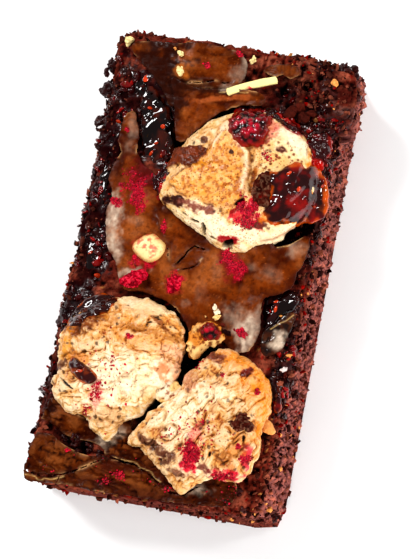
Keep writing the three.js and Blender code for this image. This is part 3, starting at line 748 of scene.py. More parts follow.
CRACKS = [
    # path and half width of a crack through the skin
    ([(-9.3, 42.9), (-6.6, 43.8), (-4.7, 43.9), (-1.6, 44.8), (1.1, 44.6), (3.4, 45.2)], 0.1),
    ([(-9.6, 13.2), (-8.2, 9.6), (-4.9, 5.2), (-4.2, 3), (-3.4, 1.4)], 0.1),
    ([(-2.2, 0.8), (-0.5, 3.1), (0.1, 4.6), (1.3, 6), (2.8, 5.6), (4.8, 5.6)], 0.16),
    ([(-1.4, -0.3), (0.8, 0.5), (2.5, 1.4), (3.3, 2.4), (3.7, 3.5)], 0.12),
    ([(-10.6, -44.8), (-8.4, -45.2), (-6, -45.6), (-3, -45.8), (0.4, -47.2), (3.6, -49), (6.6, -50.4),
     (9.4, -50.6), (11.4, -48.8), (13.4, -47.4)], 0.22),
    ([(-28.4, -51.6), (-24.1, -52.2), (-21.4, -51.8), (-19, -51)], 0.3),
    ([(-10, -45.6), (-12.8, -47.5), (-16.2, -49.6), (-19.5, -51.4), (-20.2, -54)], 0.14),
    ([(13.6, -51.4), (15.4, -49.8), (16.2, -47.6)], 0.06),
    ([(17, -52), (18, -50.2), (19.6, -49.4), (22, -49)], 0.08),
]
SKIN_DOMES = [
    # middle x, middle y, half width, half length, turn, rise
    (20.6, 5, 7.5, 6.5, 20, 1.7), (-3.6, 48.6, 8, 4.2, 3, 0.8), (17.4, -9.5, 2.8, 6, -8, 0.9),
    (5, -3, 7, 6, 0, 0.7), (-9, 10, 6, 4, -20, 0.6), (-18, 25, 3, 8, 0, 0.5), (-18, 6, 3, 9, 5, 0.9),
    (-18.6, -48.6, 7, 3.6, 10, 0.4), (24, -10.4, 2, 5, -30, 1.0),
]


def skin_waves(points):
    """Soft undulation of the skin, with a few sharper wrinkles."""
    bend = points + 1.2 * np.stack([noise(points, 4, 55), noise(points, 4, 56), points[:, 2] * 0], -1)
    folds = billow(bend, 5.5, 52, 2) - 0.5
    return 0.5 * fractal(points, 7, 51, 2) + 0.5 * folds + 0.1 * fractal(points, 1.7, 53, 3)


def skin_height(x, y):
    height = crumb_height(x, y) + SKIN_RISE
    for *oval, rise in SKIN_DOMES:
        along, across = in_oval(x, y, *oval)
        height = height + rise * np.exp(-1.2 * (along**2 + across**2))
    return height + skin_waves(flat(x, y))


def drop_small_islands(keep, least):
    """Clears groups of kept cells that have fewer than the least number of cells."""
    label = np.where(keep, np.arange(1, keep.size + 1).reshape(keep.shape), 0)
    while True:
        wide = np.pad(label, 1)
        best = np.maximum.reduce([label, wide[:-2, 1:-1], wide[2:, 1:-1], wide[1:-1, :-2], wide[1:-1, 2:]])
        best = np.where(keep, best, 0)
        if np.array_equal(best, label):
            break
        label = best
    numbers, counts = np.unique(label, return_counts=True)
    return keep & np.isin(label, numbers[counts >= least])


def crack_reach(plan, points, seed):
    """How far inside a crack each point lies, negative outside of all cracks."""
    crack = np.full(len(plan), -9.0)
    wander = 0.5 * noise(points, 0.9, seed + 9) + 0.5 * noise(points, 2.6, seed + 10)
    for path, half in CRACKS:
        ends = np.minimum(*(np.linalg.norm(plan - np.array(tip), axis=1) for tip in (path[0], path[-1])))
        width = half * (0.35 + 0.65 * smoothstep(0, 1.6, ends)) * (1 + 0.9 * wander)
        crack = np.maximum(crack, width - path_distance(plan + 0.22 * wander[:, None], path))
    return crack


def torn_edge(plan, points, outlines, keep_off, seed):
    """Signed distance to the torn edge of a sheet, negative inside."""
    torn = SKIN_RAGGED * fractal(points, 1.6, seed, 4, 0.6)
    edge = np.full(len(plan), 9.0)
    for outline in outlines:
        edge = np.minimum(edge, loop_distance(plan, outline, 120))
    edge = edge + torn
    for outline, margin in keep_off:
        edge = np.maximum(edge, margin - loop_distance(plan, outline) + 0.3 * torn)
    return edge


def fit_to_edge(plan, edge, rows, columns):
    """Cells and points that a sheet covers, its edge points, and the plan with these moved to the edge."""
    field = edge.reshape(rows, columns)
    cell = (field[:-1, :-1] + field[1:, :-1] + field[:-1, 1:] + field[1:, 1:]) / 4
    keep = drop_small_islands(cell < 0, 40)
    count = np.zeros((rows, columns), int)
    for row, column in np.ndindex(2, 2):
        count[row : rows - 1 + row, column : columns - 1 + column] += keep
    on_edge = ((count > 0) & (count < 4)).ravel()
    slope_y, slope_x = np.gradient(field, SKIN_PITCH)
    slope = np.stack([slope_x.ravel(), slope_y.ravel()], -1)
    steep = np.maximum(np.sum(slope**2, 1), 0.2)
    shift = -edge[:, None] * slope / steep[:, None]
    size = np.linalg.norm(shift, axis=1, keepdims=True)
    shift *= np.minimum(1, 0.7 * SKIN_PITCH / np.maximum(size, 1e-9))
    return keep, (count > 0).ravel(), on_edge, np.where(on_edge[:, None], plan + shift, plan)


def sheet_faces(keep, used):
    """Faces of the upper side, the lower side and the edges of a sheet."""
    number = np.cumsum(used) - 1
    total = number[-1] + 1
    row, column = np.nonzero(keep)
    columns = keep.shape[1] + 1
    corner = row * columns + column
    quads = number[np.stack([corner, corner + 1, corner + columns + 1, corner + columns], -1)]
    padded = np.pad(keep, 1)
    walls = []
    for side, (row_step, column_step) in enumerate([(-1, 0), (0, 1), (1, 0), (0, -1)]):
        bare = ~padded[row + 1 + row_step, column + 1 + column_step]
        start, end = quads[bare, side], quads[bare, (side + 1) % 4]
        walls.append(np.stack([end, start, start + total, end + total], -1))
    return [quads, quads[:, ::-1] + total, *walls]


def sheet_colours(top, depth, crushed, base, crumple, seed):
    """Colours and wetness of the skin: brown, with painted shade in its hollows and creases and painted light
    on its crests, darker near its edge, with the listed marks.
    """
    shade = fractal(top, 5, seed + 11, 3) + 1.3 * skin_waves(flat(top[:, 0], top[:, 1]))
    fine = fractal(top, 0.9, seed + 13, 3)
    near, number = cells(top, 0.62, seed + 21)
    # The tone follows the skin's waves and crumples as well as random tone: darker in hollows and creases as
    # painted shade, paler on crests as painted light
    tint = base * painted(
        top, SKIN_BROWN,
        (SKIN_DEEP, 0.85 * smoothstep(0.15, -0.75, shade)),
        (SKIN_PALE, 0.55 * smoothstep(0.1, 1.0, shade + 0.4 * fine)),
        (SKIN_DEEP, 0.5 * smoothstep(0.2, 0.6, fine)),
        (SKIN_DEEP * 0.6, min(crumple, 1) * smoothstep(-0.05, -0.4, crushed)),
        (SKIN_PALE, 0.6 * min(crumple, 1) * smoothstep(0.15, 0.45, crushed)),
        (SKIN_DEEP * 0.5, 0.45 * (number > 0.72) * smoothstep(0.34, 0.12, near)),
        (SKIN_PALE * 1.3, 0.45 * (number < 0.1) * smoothstep(0.3, 0.12, near)),
        (SKIN_DEEP, 0.7 * np.exp(-depth / 0.8)),
    )
    glassy = blot(top, *GLASSY_FRAGMENT, 0.2, 0.1, 77)
    # Pale rims on the torn edges of the skin, partly the paler crust of the edge and partly a painted
    # highlight on the raised edges
    rim = np.exp(-depth / 0.2) * smoothstep(-0.1, 0.5, fractal(top, 2.4, seed + 15, 2))
    tint = mix(tint, FRAGMENT_DARK, glassy * (0.75 + 0.25 * smoothstep(-0.3, 0.3, fine)))
    tint = mix(tint, SKIN_EDGE, 0.7 * rim * smoothstep(-0.3, 0.6, fractal(top, 7, seed + 16, 2)))
    # Stains, and a painted shadow and highlight along the fold
    for order, (*oval, colour, amount) in enumerate(SKIN_STAINS_AND_PAINTED_LIGHT):
        tint = mix(tint, colour, amount * blot(top, *oval, 0.45, 0.6, 80 + order))
    # Painted sheen: streaky highlights painted onto the skin in the listed patches
    for order, (*oval, amount) in enumerate(PAINTED_SHEEN_PATCHES):
        streak = smoothstep(-0.5, 0.4, fractal(leaned(top, oval[4] + 90, 2.5), 0.9, seed + 19, 3))
        painted_sheen = amount * blot(top, *oval, 0.75, 0.7, 140 + order)
        tint = mix(tint, SKIN_PAINTED_SHEEN, painted_sheen * (0.55 + 0.45 * streak))
    wet = 0.06 + 0.3 * smoothstep(0.2, 0.9, fractal(top, 4, seed + 17, 2)) + 0.4 * np.exp(-depth / 0.4)
    for *oval, _ in POWDER_ON_SKIN:
        red = blot(top, *oval, 0.6, 0.8, 90) * smoothstep(-0.6, 0.0, fine)
        tint = mix(tint, BERRY * 0.8, 0.85 * red)
        wet = wet * (1 - red)
    # Thin pale lines of painted highlight along split edges of the skin
    wander = 0.25 * noise(top, 1.2, seed + 23)
    for path in PAINTED_HIGHLIGHT_LINES:
        highlight_distance = path_distance(top[:, :2] + wander[:, None], path)
        tint = mix(tint, CREAM, 0.5 * np.exp(-((highlight_distance / 0.12) ** 2)) * smoothstep(-0.5, 0, wander + 0.1))
    return tint, np.maximum(wet, 0.9 * glassy)


def build_sheet(name, outlines, lift, curl, keep_off, base=1.0, crumple=0.15, seed=61):
    """A thin closed shell of baked skin over the given outlines, with torn edges and cracks through it."""
    corners = np.concatenate([np.array(outline, float) for outline in outlines])
    low, high = corners.min(0) - 1.5, corners.max(0) + 1.5
    x, y = np.meshgrid(np.arange(low[0], high[0], SKIN_PITCH), np.arange(low[1], high[1], SKIN_PITCH))
    plan = np.stack([x.ravel(), y.ravel()], -1)
    points = flat(plan[:, 0], plan[:, 1])
    crack = crack_reach(plan, points, seed)
    edge = np.maximum(torn_edge(plan, points, outlines, keep_off, seed), crack)
    keep, used, on_edge, plan = fit_to_edge(plan, edge, *x.shape)
    depth = np.clip(-edge, 0, 9)
    depth[on_edge] = 0

    height = skin_height(plan[:, 0], plan[:, 1]) + lift
    curl_here = curl * (0.3 + 0.9 * np.clip(fractal(points, 4, seed + 3, 2), -0.3, 1))
    near_crack = smoothstep(-1.4, 0, crack)
    height += curl_here * np.exp(-depth / 0.7) + 0.16 * near_crack - 0.1 * np.exp(-depth / 0.16)
    wrinkle = ridged(points * (1, 1.6, 1), 2.4, seed + 5, 3) - 0.7
    height += 0.22 * wrinkle * (0.4 + 0.6 * smoothstep(-0.2, 0.5, fractal(points, 8, seed + 6, 2)))
    bent = leaned(points, -12, 1.8) + 0.6 * noise(points, 1.4, seed + 7)[:, None]
    crushed = billow(bent, 2.2, seed + 8, 3) - 0.5
    height += crumple * crushed

    top = np.column_stack([plan, height])[used]
    under = top - (0, 0, SKIN_THICKNESS)
    tint, wet = sheet_colours(top, depth[used], crushed[used], base, crumple, seed)
    tint = np.vstack([tint, np.tile(SKIN_DEEP, (len(under), 1))])
    make_object(name, np.vstack([top, under]), sheet_faces(keep, used), tint, np.concatenate([wet, wet]),
                MATERIALS["skin"])
    return top


# Marks on the skin, the first of them the middle, half sizes and turn of the glassy flake at the right
GLASSY_FRAGMENT = (23.8, -10.6, 3.4, 6.4, -30)
POWDER_ON_SKIN = [
    # middle x, middle y, half width, half length, turn, grains
    (-14.6, 16.4, 2.2, 3.6, 25, 300), (-19.2, 13, 1.6, 0.9, 0, 50), (-6.6, 9, 0.7, 1.4, 10, 45),
    (-8.4, 18.8, 0.8, 1.6, 0, 30), (9.8, 4.6, 1.5, 2.2, 10, 150), (12.6, 2.4, 1.6, 1.8, 30, 90),
    (3.2, 52, 1.1, 0.6, -10, 40), (-3.5, 47.7, 0.6, 0.6, 0, 30), (16.2, -11.8, 1.1, 1.1, 0, 90),
    (-20, 30.4, 0.4, 0.5, 0, 14), (-10, 2, 2.5, 2.5, 0, 30), (-1.8, -3.2, 1.8, 2, 0, 26),
]
PAINTED_HIGHLIGHT_LINES = [
    # paths of thin pale lines of painted highlight on the edges where the skin has split
    [(22.3, -9.7), (23.9, -8.3), (25.6, -7.1), (26.9, -5.6)],
    [(-27.6, -52.4), (-24.1, -53.1), (-21.4, -52.7), (-18.6, -51.6)],
    [(-7.6, -45), (-5.6, -45.3), (-2.8, -45.5), (0.6, -46.8), (3.8, -48.6)],
    [(0.4, 42.2), (3.8, 42.7), (7, 42.9)],
    [(20.4, 8.6), (23, 9.6), (25.6, 12)],
]
SKIN_STAINS_AND_PAINTED_LIGHT = [
    # middle x, middle y, half width, half length, turn, colour, strength
    (-15.4, 44.6, 6.2, 8.4, -32, FILM_DARK, 1.0), (-9.6, 46, 1.7, 1.7, 0, paint(196, 110, 40), 0.7),
    (-9.8, 49.8, 1.8, 1.2, 0, paint(150, 80, 40), 0.6), (9.8, 3.4, 2.2, 3.6, 20, paint(110, 20, 24), 0.85),
    (-13.5, 20.6, 4.4, 3, -40, paint(90, 16, 16), 0.8), (3.4, -12, 5, 1.6, -10, paint(66, 20, 8), 0.7),
    # The long dark line at (-2, 42.3) is a painted shadow above the rolled fold, and the pale line at (2, 41)
    # a painted highlight on the fold's rim
    (-9.6, 36, 1.6, 5, 10, paint(60, 20, 8), 0.7), (-2, 42.3, 10, 0.7, 2, paint(50, 20, 8), 0.8),
    (2, 41, 7, 0.6, 12, paint(190, 100, 50), 0.5), (-12.6, -38.6, 4, 1.4, -20, paint(70, 24, 8), 0.6),
    (2.4, -46, 6, 1.2, -35, paint(64, 22, 8), 0.6), (17, -48.4, 3, 2, 0, paint(64, 24, 8), 0.8),
    (-9.8, 40.6, 2.4, 5.4, 14, FILM_DARK, 0.9), (-2, -51.6, 16, 1.2, 0, paint(64, 26, 14), 0.6),
    (-8, -47.4, 3.4, 1.8, 10, paint(74, 26, 12), 0.6),
]
# Patches of painted sheen: highlights painted onto the skin
PAINTED_SHEEN_PATCHES = [
    # middle x, middle y, half width, half length, turn, strength
    (-18.9, 9.6, 1.7, 4.6, 3, 0.95), (-17.2, 3.4, 1.7, 2.6, 20, 1.0), (-12, -2.6, 3, 1, 15, 0.85),
    (-13.6, 9.6, 1.6, 1, 10, 0.12), (16.8, -12.6, 2.3, 3, 10, 0.85), (14.4, -9, 3, 2.6, 0, 0.3),
    (18.4, -8.6, 1.2, 2.4, 0, 0.35), (24.2, -12.2, 1.2, 1.9, -20, 0.95), (24.8, 9.6, 1.8, 1.8, 0, 0.32),
    (7.4, 1.6, 1, 2.4, 10, 0.08), (5, -4.6, 1.2, 2.4, 10, 0.08), (1.6, -7.4, 1, 0.6, 30, 0.15),
    (20.4, 2.2, 2.2, 1.6, 0, 0.12), (4.2, 46.6, 2, 1.6, 20, 0.3), (5.2, 50.4, 1, 1.6, 0, 0.4),
    (-9.6, -40.4, 3, 1.6, 35, 0.9), (11.6, -48.8, 3, 1, 5, 0.55), (-18.6, 29.8, 1.2, 3, 0, 0.22),
    (2.4, 43.4, 2, 0.9, 10, 0.5), (15.6, 3.4, 1.4, 1, 0, 0.15),
]


# Marshmallows

def puff_points(outline, around, rings, profile):
    """Rings from the middle of an outline over its edge and in under it, with reach and height by profile."""
    edge = smooth_loop(outline, around)
    middle = edge.mean(0)
    reach, height = profile(np.linspace(0, 1, rings))
    plan = middle + reach[:, None, None] * (edge - middle)
    level = np.repeat(height[:, None, None], around, axis=1)
    return np.concatenate([plan, level], -1).reshape(-1, 3)


def marshmallow_profile(crown):
    """Reach and height from the crown over a rounded edge to the underside."""
    share_top = 0.76

    def profile(t):
        over = np.clip(t / share_top, 0, 1)
        reach = np.sin(over * math.pi / 2) ** 0.92
        height = MARSHMALLOW_EDGE + (crown - MARSHMALLOW_EDGE) * np.clip(1 - reach**4.0, 0, 1) ** 0.6
        down = np.clip((t - share_top) / (1 - share_top), 0, 1)
        reach = reach - 0.08 * down**2
        height = height - (MARSHMALLOW_EDGE - MARSHMALLOW_BOTTOM) * down
        return reach, height
    return profile


def build_marshmallow(name, node, outline, crown, seed, look):
    """A puffed lump with a crust of rounded puffs, pale on their crests as painted highlight and brown in
    their creases, partly toasting and partly painted shade.
    """
    around, rings = MARSHMALLOW_AROUND, MARSHMALLOW_RINGS
    points = puff_points(outline, around, rings, marshmallow_profile(crown))
    rim = smoothstep(crown - 0.6, MARSHMALLOW_EDGE + 0.4, points[:, 2])
    uneven = fractal(flat(points[:, 0], points[:, 1]), 3.6, seed + 15, 3)
    push_out(points, EDGE_SWELL + look["ragged"] * rim * uneven)
    normals = puff_normals(points, rings, around)

    froth = look["froth"] * (1 - masks(points, look["calm"], seed + 30))
    pale = masks(points, look["pale"], seed + 50)
    toast = look["toast"] + 0.5 * fractal(points, 6, seed + 21, 3)
    toast = smoothstep(-0.5, 0.6, toast + 1.2 * masks(points, look["browned"], seed + 40) - pale)
    bend = 0.7 * np.stack([noise(points, 2.0, seed + k) for k in (1, 2, 3)], -1)
    grain = leaned(points, *look["grain"]) + bend
    wide = billow(grain, 2.2, seed + 5)
    tight = billow(grain, 0.95, seed + 8)
    tiny = billow(grain, 0.5, seed + 11)
    fine = fractal(points, 0.6, seed + 13, 2)
    height = 0.45 * wide + 0.35 * tight + 0.2 * tiny
    low = smoothstep(0.6, 0.15, height)
    crease = np.maximum(smoothstep(0.22, 0.0, tight), smoothstep(0.2, 0.0, wide))
    relief = 0.45 * fractal(points, 6.5, seed + 9, 2) + 0.05 * fine
    upright = np.clip(normals[:, 2], 0, 1)
    puffs = 0.7 * (wide - 0.45) + 0.42 * (tight - 0.45) + 0.16 * (tiny - 0.45)
    relief += froth * (0.3 + 0.7 * upright) * puffs

    rough = np.clip(froth * 1.3, 0, 1)
    light_specks = smoothstep(0.2, 0.5, fractal(points, 1.0, seed + 23, 3)) * (1 - toast)
    # Pale crests are painted highlight; the brown and dark lines in the creases are partly toasting and
    # partly painted shade
    tint = painted(
        points, CREAM,
        (TOAST, toast * (0.6 + 0.4 * low * rough)),
        (CREST, (1 - 0.6 * toast) * rough * smoothstep(0.55, 0.9, height)),
        (CREST, 0.75 * pale),
        (CREST, 0.5 * light_specks),
        (CARAMEL, (0.35 + 0.6 * toast) * low * rough),
        (CARAMEL * 0.5, (0.35 + 0.6 * toast) * crease * rough),
        (CARAMEL, (0.2 + 0.3 * toast) * smoothstep(0.25, 0.05, tiny) * rough),
    )
    near, number = cells(points, 1.3, seed + 17)
    burnt = (number > 0.8) * smoothstep(0.42, 0.2, near + 0.25 * fine) * smoothstep(0.2, 0.7, toast)
    tint = mix(tint, CHAR, 0.8 * burnt)
    relief -= 0.12 * burnt
    pores = look["pores"] * smoothstep(-0.5, 0.5, fractal(points, 2.2, seed + 19, 2) + 0.2)
    tint, wet, push = look["decorate"](points, tint, 0.3 + 0.3 * toast, seed)
    relief = relief + push
    # Painted shade: the sides low under the rim, where they sink into the crumb, are painted dark brown, and
    # in the gaps beside the marshmallows near black
    sides = smoothstep(MARSHMALLOW_EDGE - 1.2, MARSHMALLOW_EDGE - 3.2, points[:, 2])
    tint = mix(tint, CARAMEL * 0.3, sides)
    for hollow, _ in DEEP_GAPS:
        shade = smoothstep(0.5, -0.6, loop_distance(points[:, :2], hollow, 40))
        under_rim = smoothstep(MARSHMALLOW_EDGE + 0.6, MARSHMALLOW_EDGE - 1, points[:, 2])
        tint = mix(tint, CHAR * 0.1, shade * under_rim)
    points = points + normals * relief[:, None] * (1 - 0.6 * sides)[:, None]
    closed, faces = closed_rings(points, rings, around)
    piece = make_object(name, closed, faces, np.vstack([tint, CARAMEL]), np.append(wet, 0.3),
                        MATERIALS["marshmallow"], pores=np.append(pores, 0))
    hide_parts(node)
    return points


def stains(points, tint, listed, seed):
    """Lays ragged stains over a tint. They keep its creases, and blend as the eye sees it."""
    broken = 0.8 * fractal(points, 0.8, seed + 99, 3)
    relief = np.clip((tint / CREAM).mean(1, keepdims=True), 0.25, 1.1)
    for number, (*oval, colour, amount) in enumerate(listed):
        mask = blot(points, *oval, 0.5, 0.7, seed + 60 + number)
        cover = amount * smoothstep(0.05, 0.95, mask * (1 + broken))
        tint = mix(np.sqrt(tint), np.sqrt(colour * relief), cover) ** 2
    return tint


def dents(points, ovals, seed):
    """Depth, 0 to 1, of ragged holes: middle, half sizes and turn."""
    return masks(points, [(*oval, 1) for oval in ovals], seed + 80, 0.25, 0.6)


# Outlines and lines of the marks on the rear marshmallow
GOLD_LOBE = [
    (-6.8, 18.9), (-6.2, 20.6), (-4.5, 21.8), (-2.5, 23.6), (-0.5, 25.3), (0.5, 27.8), (1.9, 31.6),
    (2.9, 34.9), (4.3, 36.3), (5.3, 34.8), (6.7, 32.4), (8.6, 30.8), (10.5, 29.5), (11.2, 27.2), (11.5, 24.5),
    (11.4, 21.4), (11.1, 19), (10.1, 17.2), (10, 15.1), (8.8, 14.2), (6.8, 14.8), (4.5, 15.3), (1.3, 16.2),
    (-2.3, 16.6),
]
FLAP_ON_REAR = [
    (-9.3, 26.9), (-6.7, 27.3), (-3.8, 28), (-0.8, 28.5), (0.8, 27.9), (1.2, 26.4), (-0.3, 25.5),
    (-0.5, 24.4), (-3.4, 23.5), (-4.8, 23.9), (-6.4, 23.2), (-8.4, 22.2),
]
FRONT_FOLD = [(16.6, 9.3), (19.2, 10.3), (21.9, 12.3), (24.6, 14.9)]
LOBE_GROOVE = [(12.7, 20.5), (12.6, 23.7), (11.6, 26.1), (11.2, 29.1), (9.6, 31)]


def decorate_rear(points, tint, wet, seed):
    """Golden porous lobe at the left, cream lobe at the right, brown flap, wet red patches, and slits painted
    dark as shade.
    """
    plan = points[:, :2]
    fine = fractal(points, 0.8, seed + 76, 3)
    lobe = loop_distance(plan, GOLD_LOBE, 90) + 0.5 * fractal(points, 1.4, seed + 70, 3)
    on_lobe = smoothstep(0.5, -0.7, lobe)
    clouds = fractal(points, 1.5, seed + 72, 3)
    tint = layered(
        tint,
        (GOLD, 0.9 * on_lobe * (0.55 + 0.45 * smoothstep(-0.4, 0.3, clouds))),
        (CREAM, 0.6 * on_lobe * smoothstep(0.15, 0.5, clouds + 0.3 * fine)),
        (CARAMEL, 0.6 * on_lobe * smoothstep(0.12, 0.42, -fine)),
    )
    near, number = cells(points, 0.95, seed + 77)
    dots = (number > 0.5) * smoothstep(0.34, 0.14, near)
    tint = mix(tint, CREAM, 0.5 * blot(points, 17.6, 27.6, 5, 4.4, -40, 0.5, 0.4, seed + 71))
    large_dots = (number > 0.5) * smoothstep(0.5, 0.25, near)
    right_lobe = blot(points, 17.6, 29.6, 7.6, 6.4, -40, 0.4, 0.4, seed + 78)
    tint = layered(
        tint,
        (CARAMEL * 0.6,
         np.maximum(0.7 * dots * on_lobe, 0.95 * large_dots * right_lobe * smoothstep(-0.4, 0, clouds))),
        (CREST, 0.8 * blot(points, 20, 33.4, 4.6, 1.5, -42, 0.5, 0.3, seed + 79)),
        (CREST, 0.6 * np.exp(-(((lobe + 0.9) / 0.5) ** 2)) * (points[:, 1] > 20) * (points[:, 0] > 2)),
    )
    seam = np.exp(-((lobe / 0.24) ** 2)) * smoothstep(-0.3, 0.3, noise(points, 2.2, seed + 74) + 0.1)
    tint = mix(tint, CARAMEL * 0.6, 0.7 * seam)
    tint = stains(points, tint, [
        (-6.4, 24.6, 1.6, 0.9, 0, paint(60, 20, 10), 0.9),
        (0.5, 24.6, 2.4, 0.6, 15, paint(230, 140, 20), 0.8),
        (-5, 15.2, 2.6, 1.1, -5, paint(60, 22, 14), 1.0), (0.8, 14.6, 4, 1.1, -4, paint(122, 66, 52), 0.95),
        (-3.6, 29.6, 2.4, 1.6, 40, paint(232, 196, 150), 0.7),
        (-0.6, 30.2, 0.9, 0.8, 0, paint(90, 44, 24), 0.9),
        (12.6, 22.6, 0.9, 3.4, 0, paint(170, 92, 30), 0.9),
        (12.6, 15.6, 1.5, 3.2, -35, paint(216, 26, 44), 0.95),
        (10.6, 15.8, 0.9, 2.8, -35, paint(170, 8, 20), 0.9),
        (9.3, 8.4, 2.6, 1.2, 5, paint(140, 12, 20), 0.95),
        (14, 13.4, 3, 1.5, -10, paint(224, 70, 70), 0.75), (11, 33.4, 3.2, 3.6, 0, paint(120, 12, 8), 0.7),
        (16, 12.6, 2.6, 0.9, 8, paint(70, 26, 18), 0.8), (22, 15.4, 6, 1.2, 12, paint(200, 104, 20), 0.8),
        (25, 26.6, 1.3, 5.6, -4, paint(214, 112, 16), 0.95), (6.6, 28.2, 0.5, 0.4, 0, CHAR, 0.9),
        (14.6, 29.8, 0.7, 0.6, 0, CHAR * 1.4, 0.9), (14, 35.4, 2.4, 1.6, 0, paint(206, 60, 56), 0.45),
        (19, 36.2, 3, 0.9, -20, paint(120, 10, 18), 0.8), (17.6, 30.6, 1, 0.6, 0, paint(60, 12, 10), 0.9),
    ], seed)
    flap = loop_distance(plan, FLAP_ON_REAR, 60) + 0.3 * fine
    on_flap = smoothstep(0.15, -0.1, flap)
    tint = mix(tint, paint(104, 40, 6) * (0.7 + 0.6 * smoothstep(-0.3, 0.3, fine))[:, None], on_flap)
    fold = path_distance(plan, FRONT_FOLD)
    tint = mix(tint, CARAMEL * 0.9, 0.6 * np.exp(-((fold / 0.22) ** 2)))
    hole = dents(points, [(10.1, 17, 1.3, 0.5, 40), (0.7, 11.5, 1.1, 0.28, -5), (3.2, 10, 0.5, 1.1, 10),
                          (9.4, 7.4, 1.3, 0.9, 0), (5.4, 8.4, 0.8, 0.2, -20), (-1.6, 12.6, 0.7, 0.2, -30)],
                 seed)
    # The holes are painted near black, as painted shade
    tint = mix(tint, CHAR * 0.15, hole)
    groove = np.exp(-((path_distance(plan, LOBE_GROOVE) / 0.6) ** 2))
    tint = mix(tint, CARAMEL * 0.45, 0.8 * groove * smoothstep(-0.4, 0.2, fine))
    push = 0.55 * on_lobe - 0.3 * seam - 1.5 * hole - 0.7 * groove + 0.6 * on_flap - 0.14 * dots * on_lobe
    wet = np.maximum(wet, 0.8 * blot(points, 25.4, 28, 1.6, 6, -4, 0.3, 0.3, seed + 75))
    return tint, wet, push - 0.4 * np.exp(-((fold / 0.4) ** 2))


def decorate_left(points, tint, wet, seed):
    """Smooth cream dome at the rear, an orange spotted band across it and pinkish wrinkles at the right."""
    clouds = fractal(points, 1.4, seed + 72, 3)
    band = blot(points, -7, -15.4, 12, 4.2, -5, 0.5, 0.4, seed + 73)
    near, number = cells(leaned(points, 12, 1.7), 0.8, seed + 77)
    dashes = (number > 0.45) * smoothstep(0.4, 0.15, near) * smoothstep(-0.3, 0.2, clouds)
    tint = mix(tint, GOLD, 0.6 * band * smoothstep(-0.45, 0.2, clouds))
    tint = mix(tint, CARAMEL * 0.8, 0.85 * dashes * band)
    tint = stains(points, tint, [
        (-20.4, -15.6, 4, 2.6, 40, paint(120, 54, 12), 0.9),
        (-15.8, -11.6, 2.4, 2, 30, paint(150, 66, 8), 0.8),
        (-5, -15.4, 9, 0.9, -6, paint(176, 96, 24), 0.5), (-2, -13.6, 4, 0.5, -30, paint(120, 50, 10), 0.7),
        (1.6, -21, 2.4, 4, 35, paint(226, 150, 110), 0.5), (-0.2, -23.6, 1, 2, 35, paint(190, 100, 50), 0.6),
        (-22.6, -21.6, 1.2, 4, 0, paint(214, 130, 20), 0.7), (-23, -26.4, 1, 1.4, 0, paint(80, 34, 14), 0.8),
        (-13.6, -31.4, 1.4, 3, 10, paint(226, 90, 90), 0.4),
        (-8.6, -17.6, 0.8, 0.4, 0, paint(190, 20, 30), 0.9),
        (-3.6, -12, 0.6, 0.4, 0, CHAR * 0.4, 0.9), (-18.6, -24.2, 2.6, 1.2, -20, paint(200, 110, 30), 0.7),
        (-9, -36.6, 3.4, 2, 0, paint(200, 150, 100), 0.6),
    ], seed)
    hole = dents(points, [(-2.6, -12.4, 0.6, 0.25, 0), (-4.6, -13.4, 0.5, 0.2, 0),
                          (-21, -30.4, 1.6, 0.22, -30)], seed)
    # The holes are painted near black, as painted shade
    return mix(tint, CHAR * 0.2, hole), wet, -0.5 * hole


def decorate_right(points, tint, wet, seed):
    """Golden crust with drawn-out puffs, an amber glaze at the rear right and crimson patches in front."""
    glaze = masks(points, [(16, -18.8, 5.4, 1.6, -12, 1), (21.4, -22.6, 2.8, 5, 30, 1),
                           (24, -28.6, 1.5, 6, 0, 1)], seed + 71)
    glaze = glaze * (0.55 + 0.45 * smoothstep(-0.4, 0.2, fractal(points, 1.5, seed + 72, 3)))
    tint = mix(tint, paint(226, 132, 12), 0.85 * glaze)
    tint = stains(points, tint, [
        (10.6, -18.4, 2.6, 1.1, -10, paint(110, 40, 30), 0.8),
        (19.2, -20.9, 1.1, 1, 0, paint(110, 20, 10), 0.95),
        (1, -40.6, 4.6, 1.1, -24, paint(92, 46, 26), 0.9), (5.6, -43, 1.6, 1.4, 0, paint(80, 36, 20), 0.8),
        (10.5, -41.2, 1.7, 2.6, 0, paint(204, 8, 36), 0.95),
        (18.4, -44, 3.2, 1.1, 10, paint(196, 8, 36), 0.9),
        (22.4, -39.8, 0.9, 2.6, 0, paint(190, 14, 40), 0.8), (13.6, -43.4, 1.6, 1, 0, paint(90, 30, 20), 0.8),
        (8.4, -45.6, 2, 1, 0, paint(90, 36, 20), 0.7), (18.4, -40.6, 2.4, 1.6, 0, paint(176, 92, 30), 0.6),
        (6.6, -24.6, 1.4, 3.4, 40, paint(190, 110, 84), 0.5),
        (20.4, -36.6, 1.8, 3, 0, paint(186, 104, 30), 0.6),
        (22.8, -31.8, 0.8, 1.6, 0, paint(160, 84, 24), 0.7),
        (10.6, -36.4, 1.2, 2.6, 0, paint(220, 84, 80), 0.5),
    ], seed)
    hole = dents(points, [(2, -41, 0.8, 0.25, -20), (14.6, -40.4, 0.3, 0.5, 0), (21.3, -35.4, 0.3, 0.7, 10)],
                 seed)
    # The holes are painted near black, as painted shade
    return mix(tint, CHAR * 0.2, hole), np.maximum(wet, 0.95 * glaze), -0.5 * hole


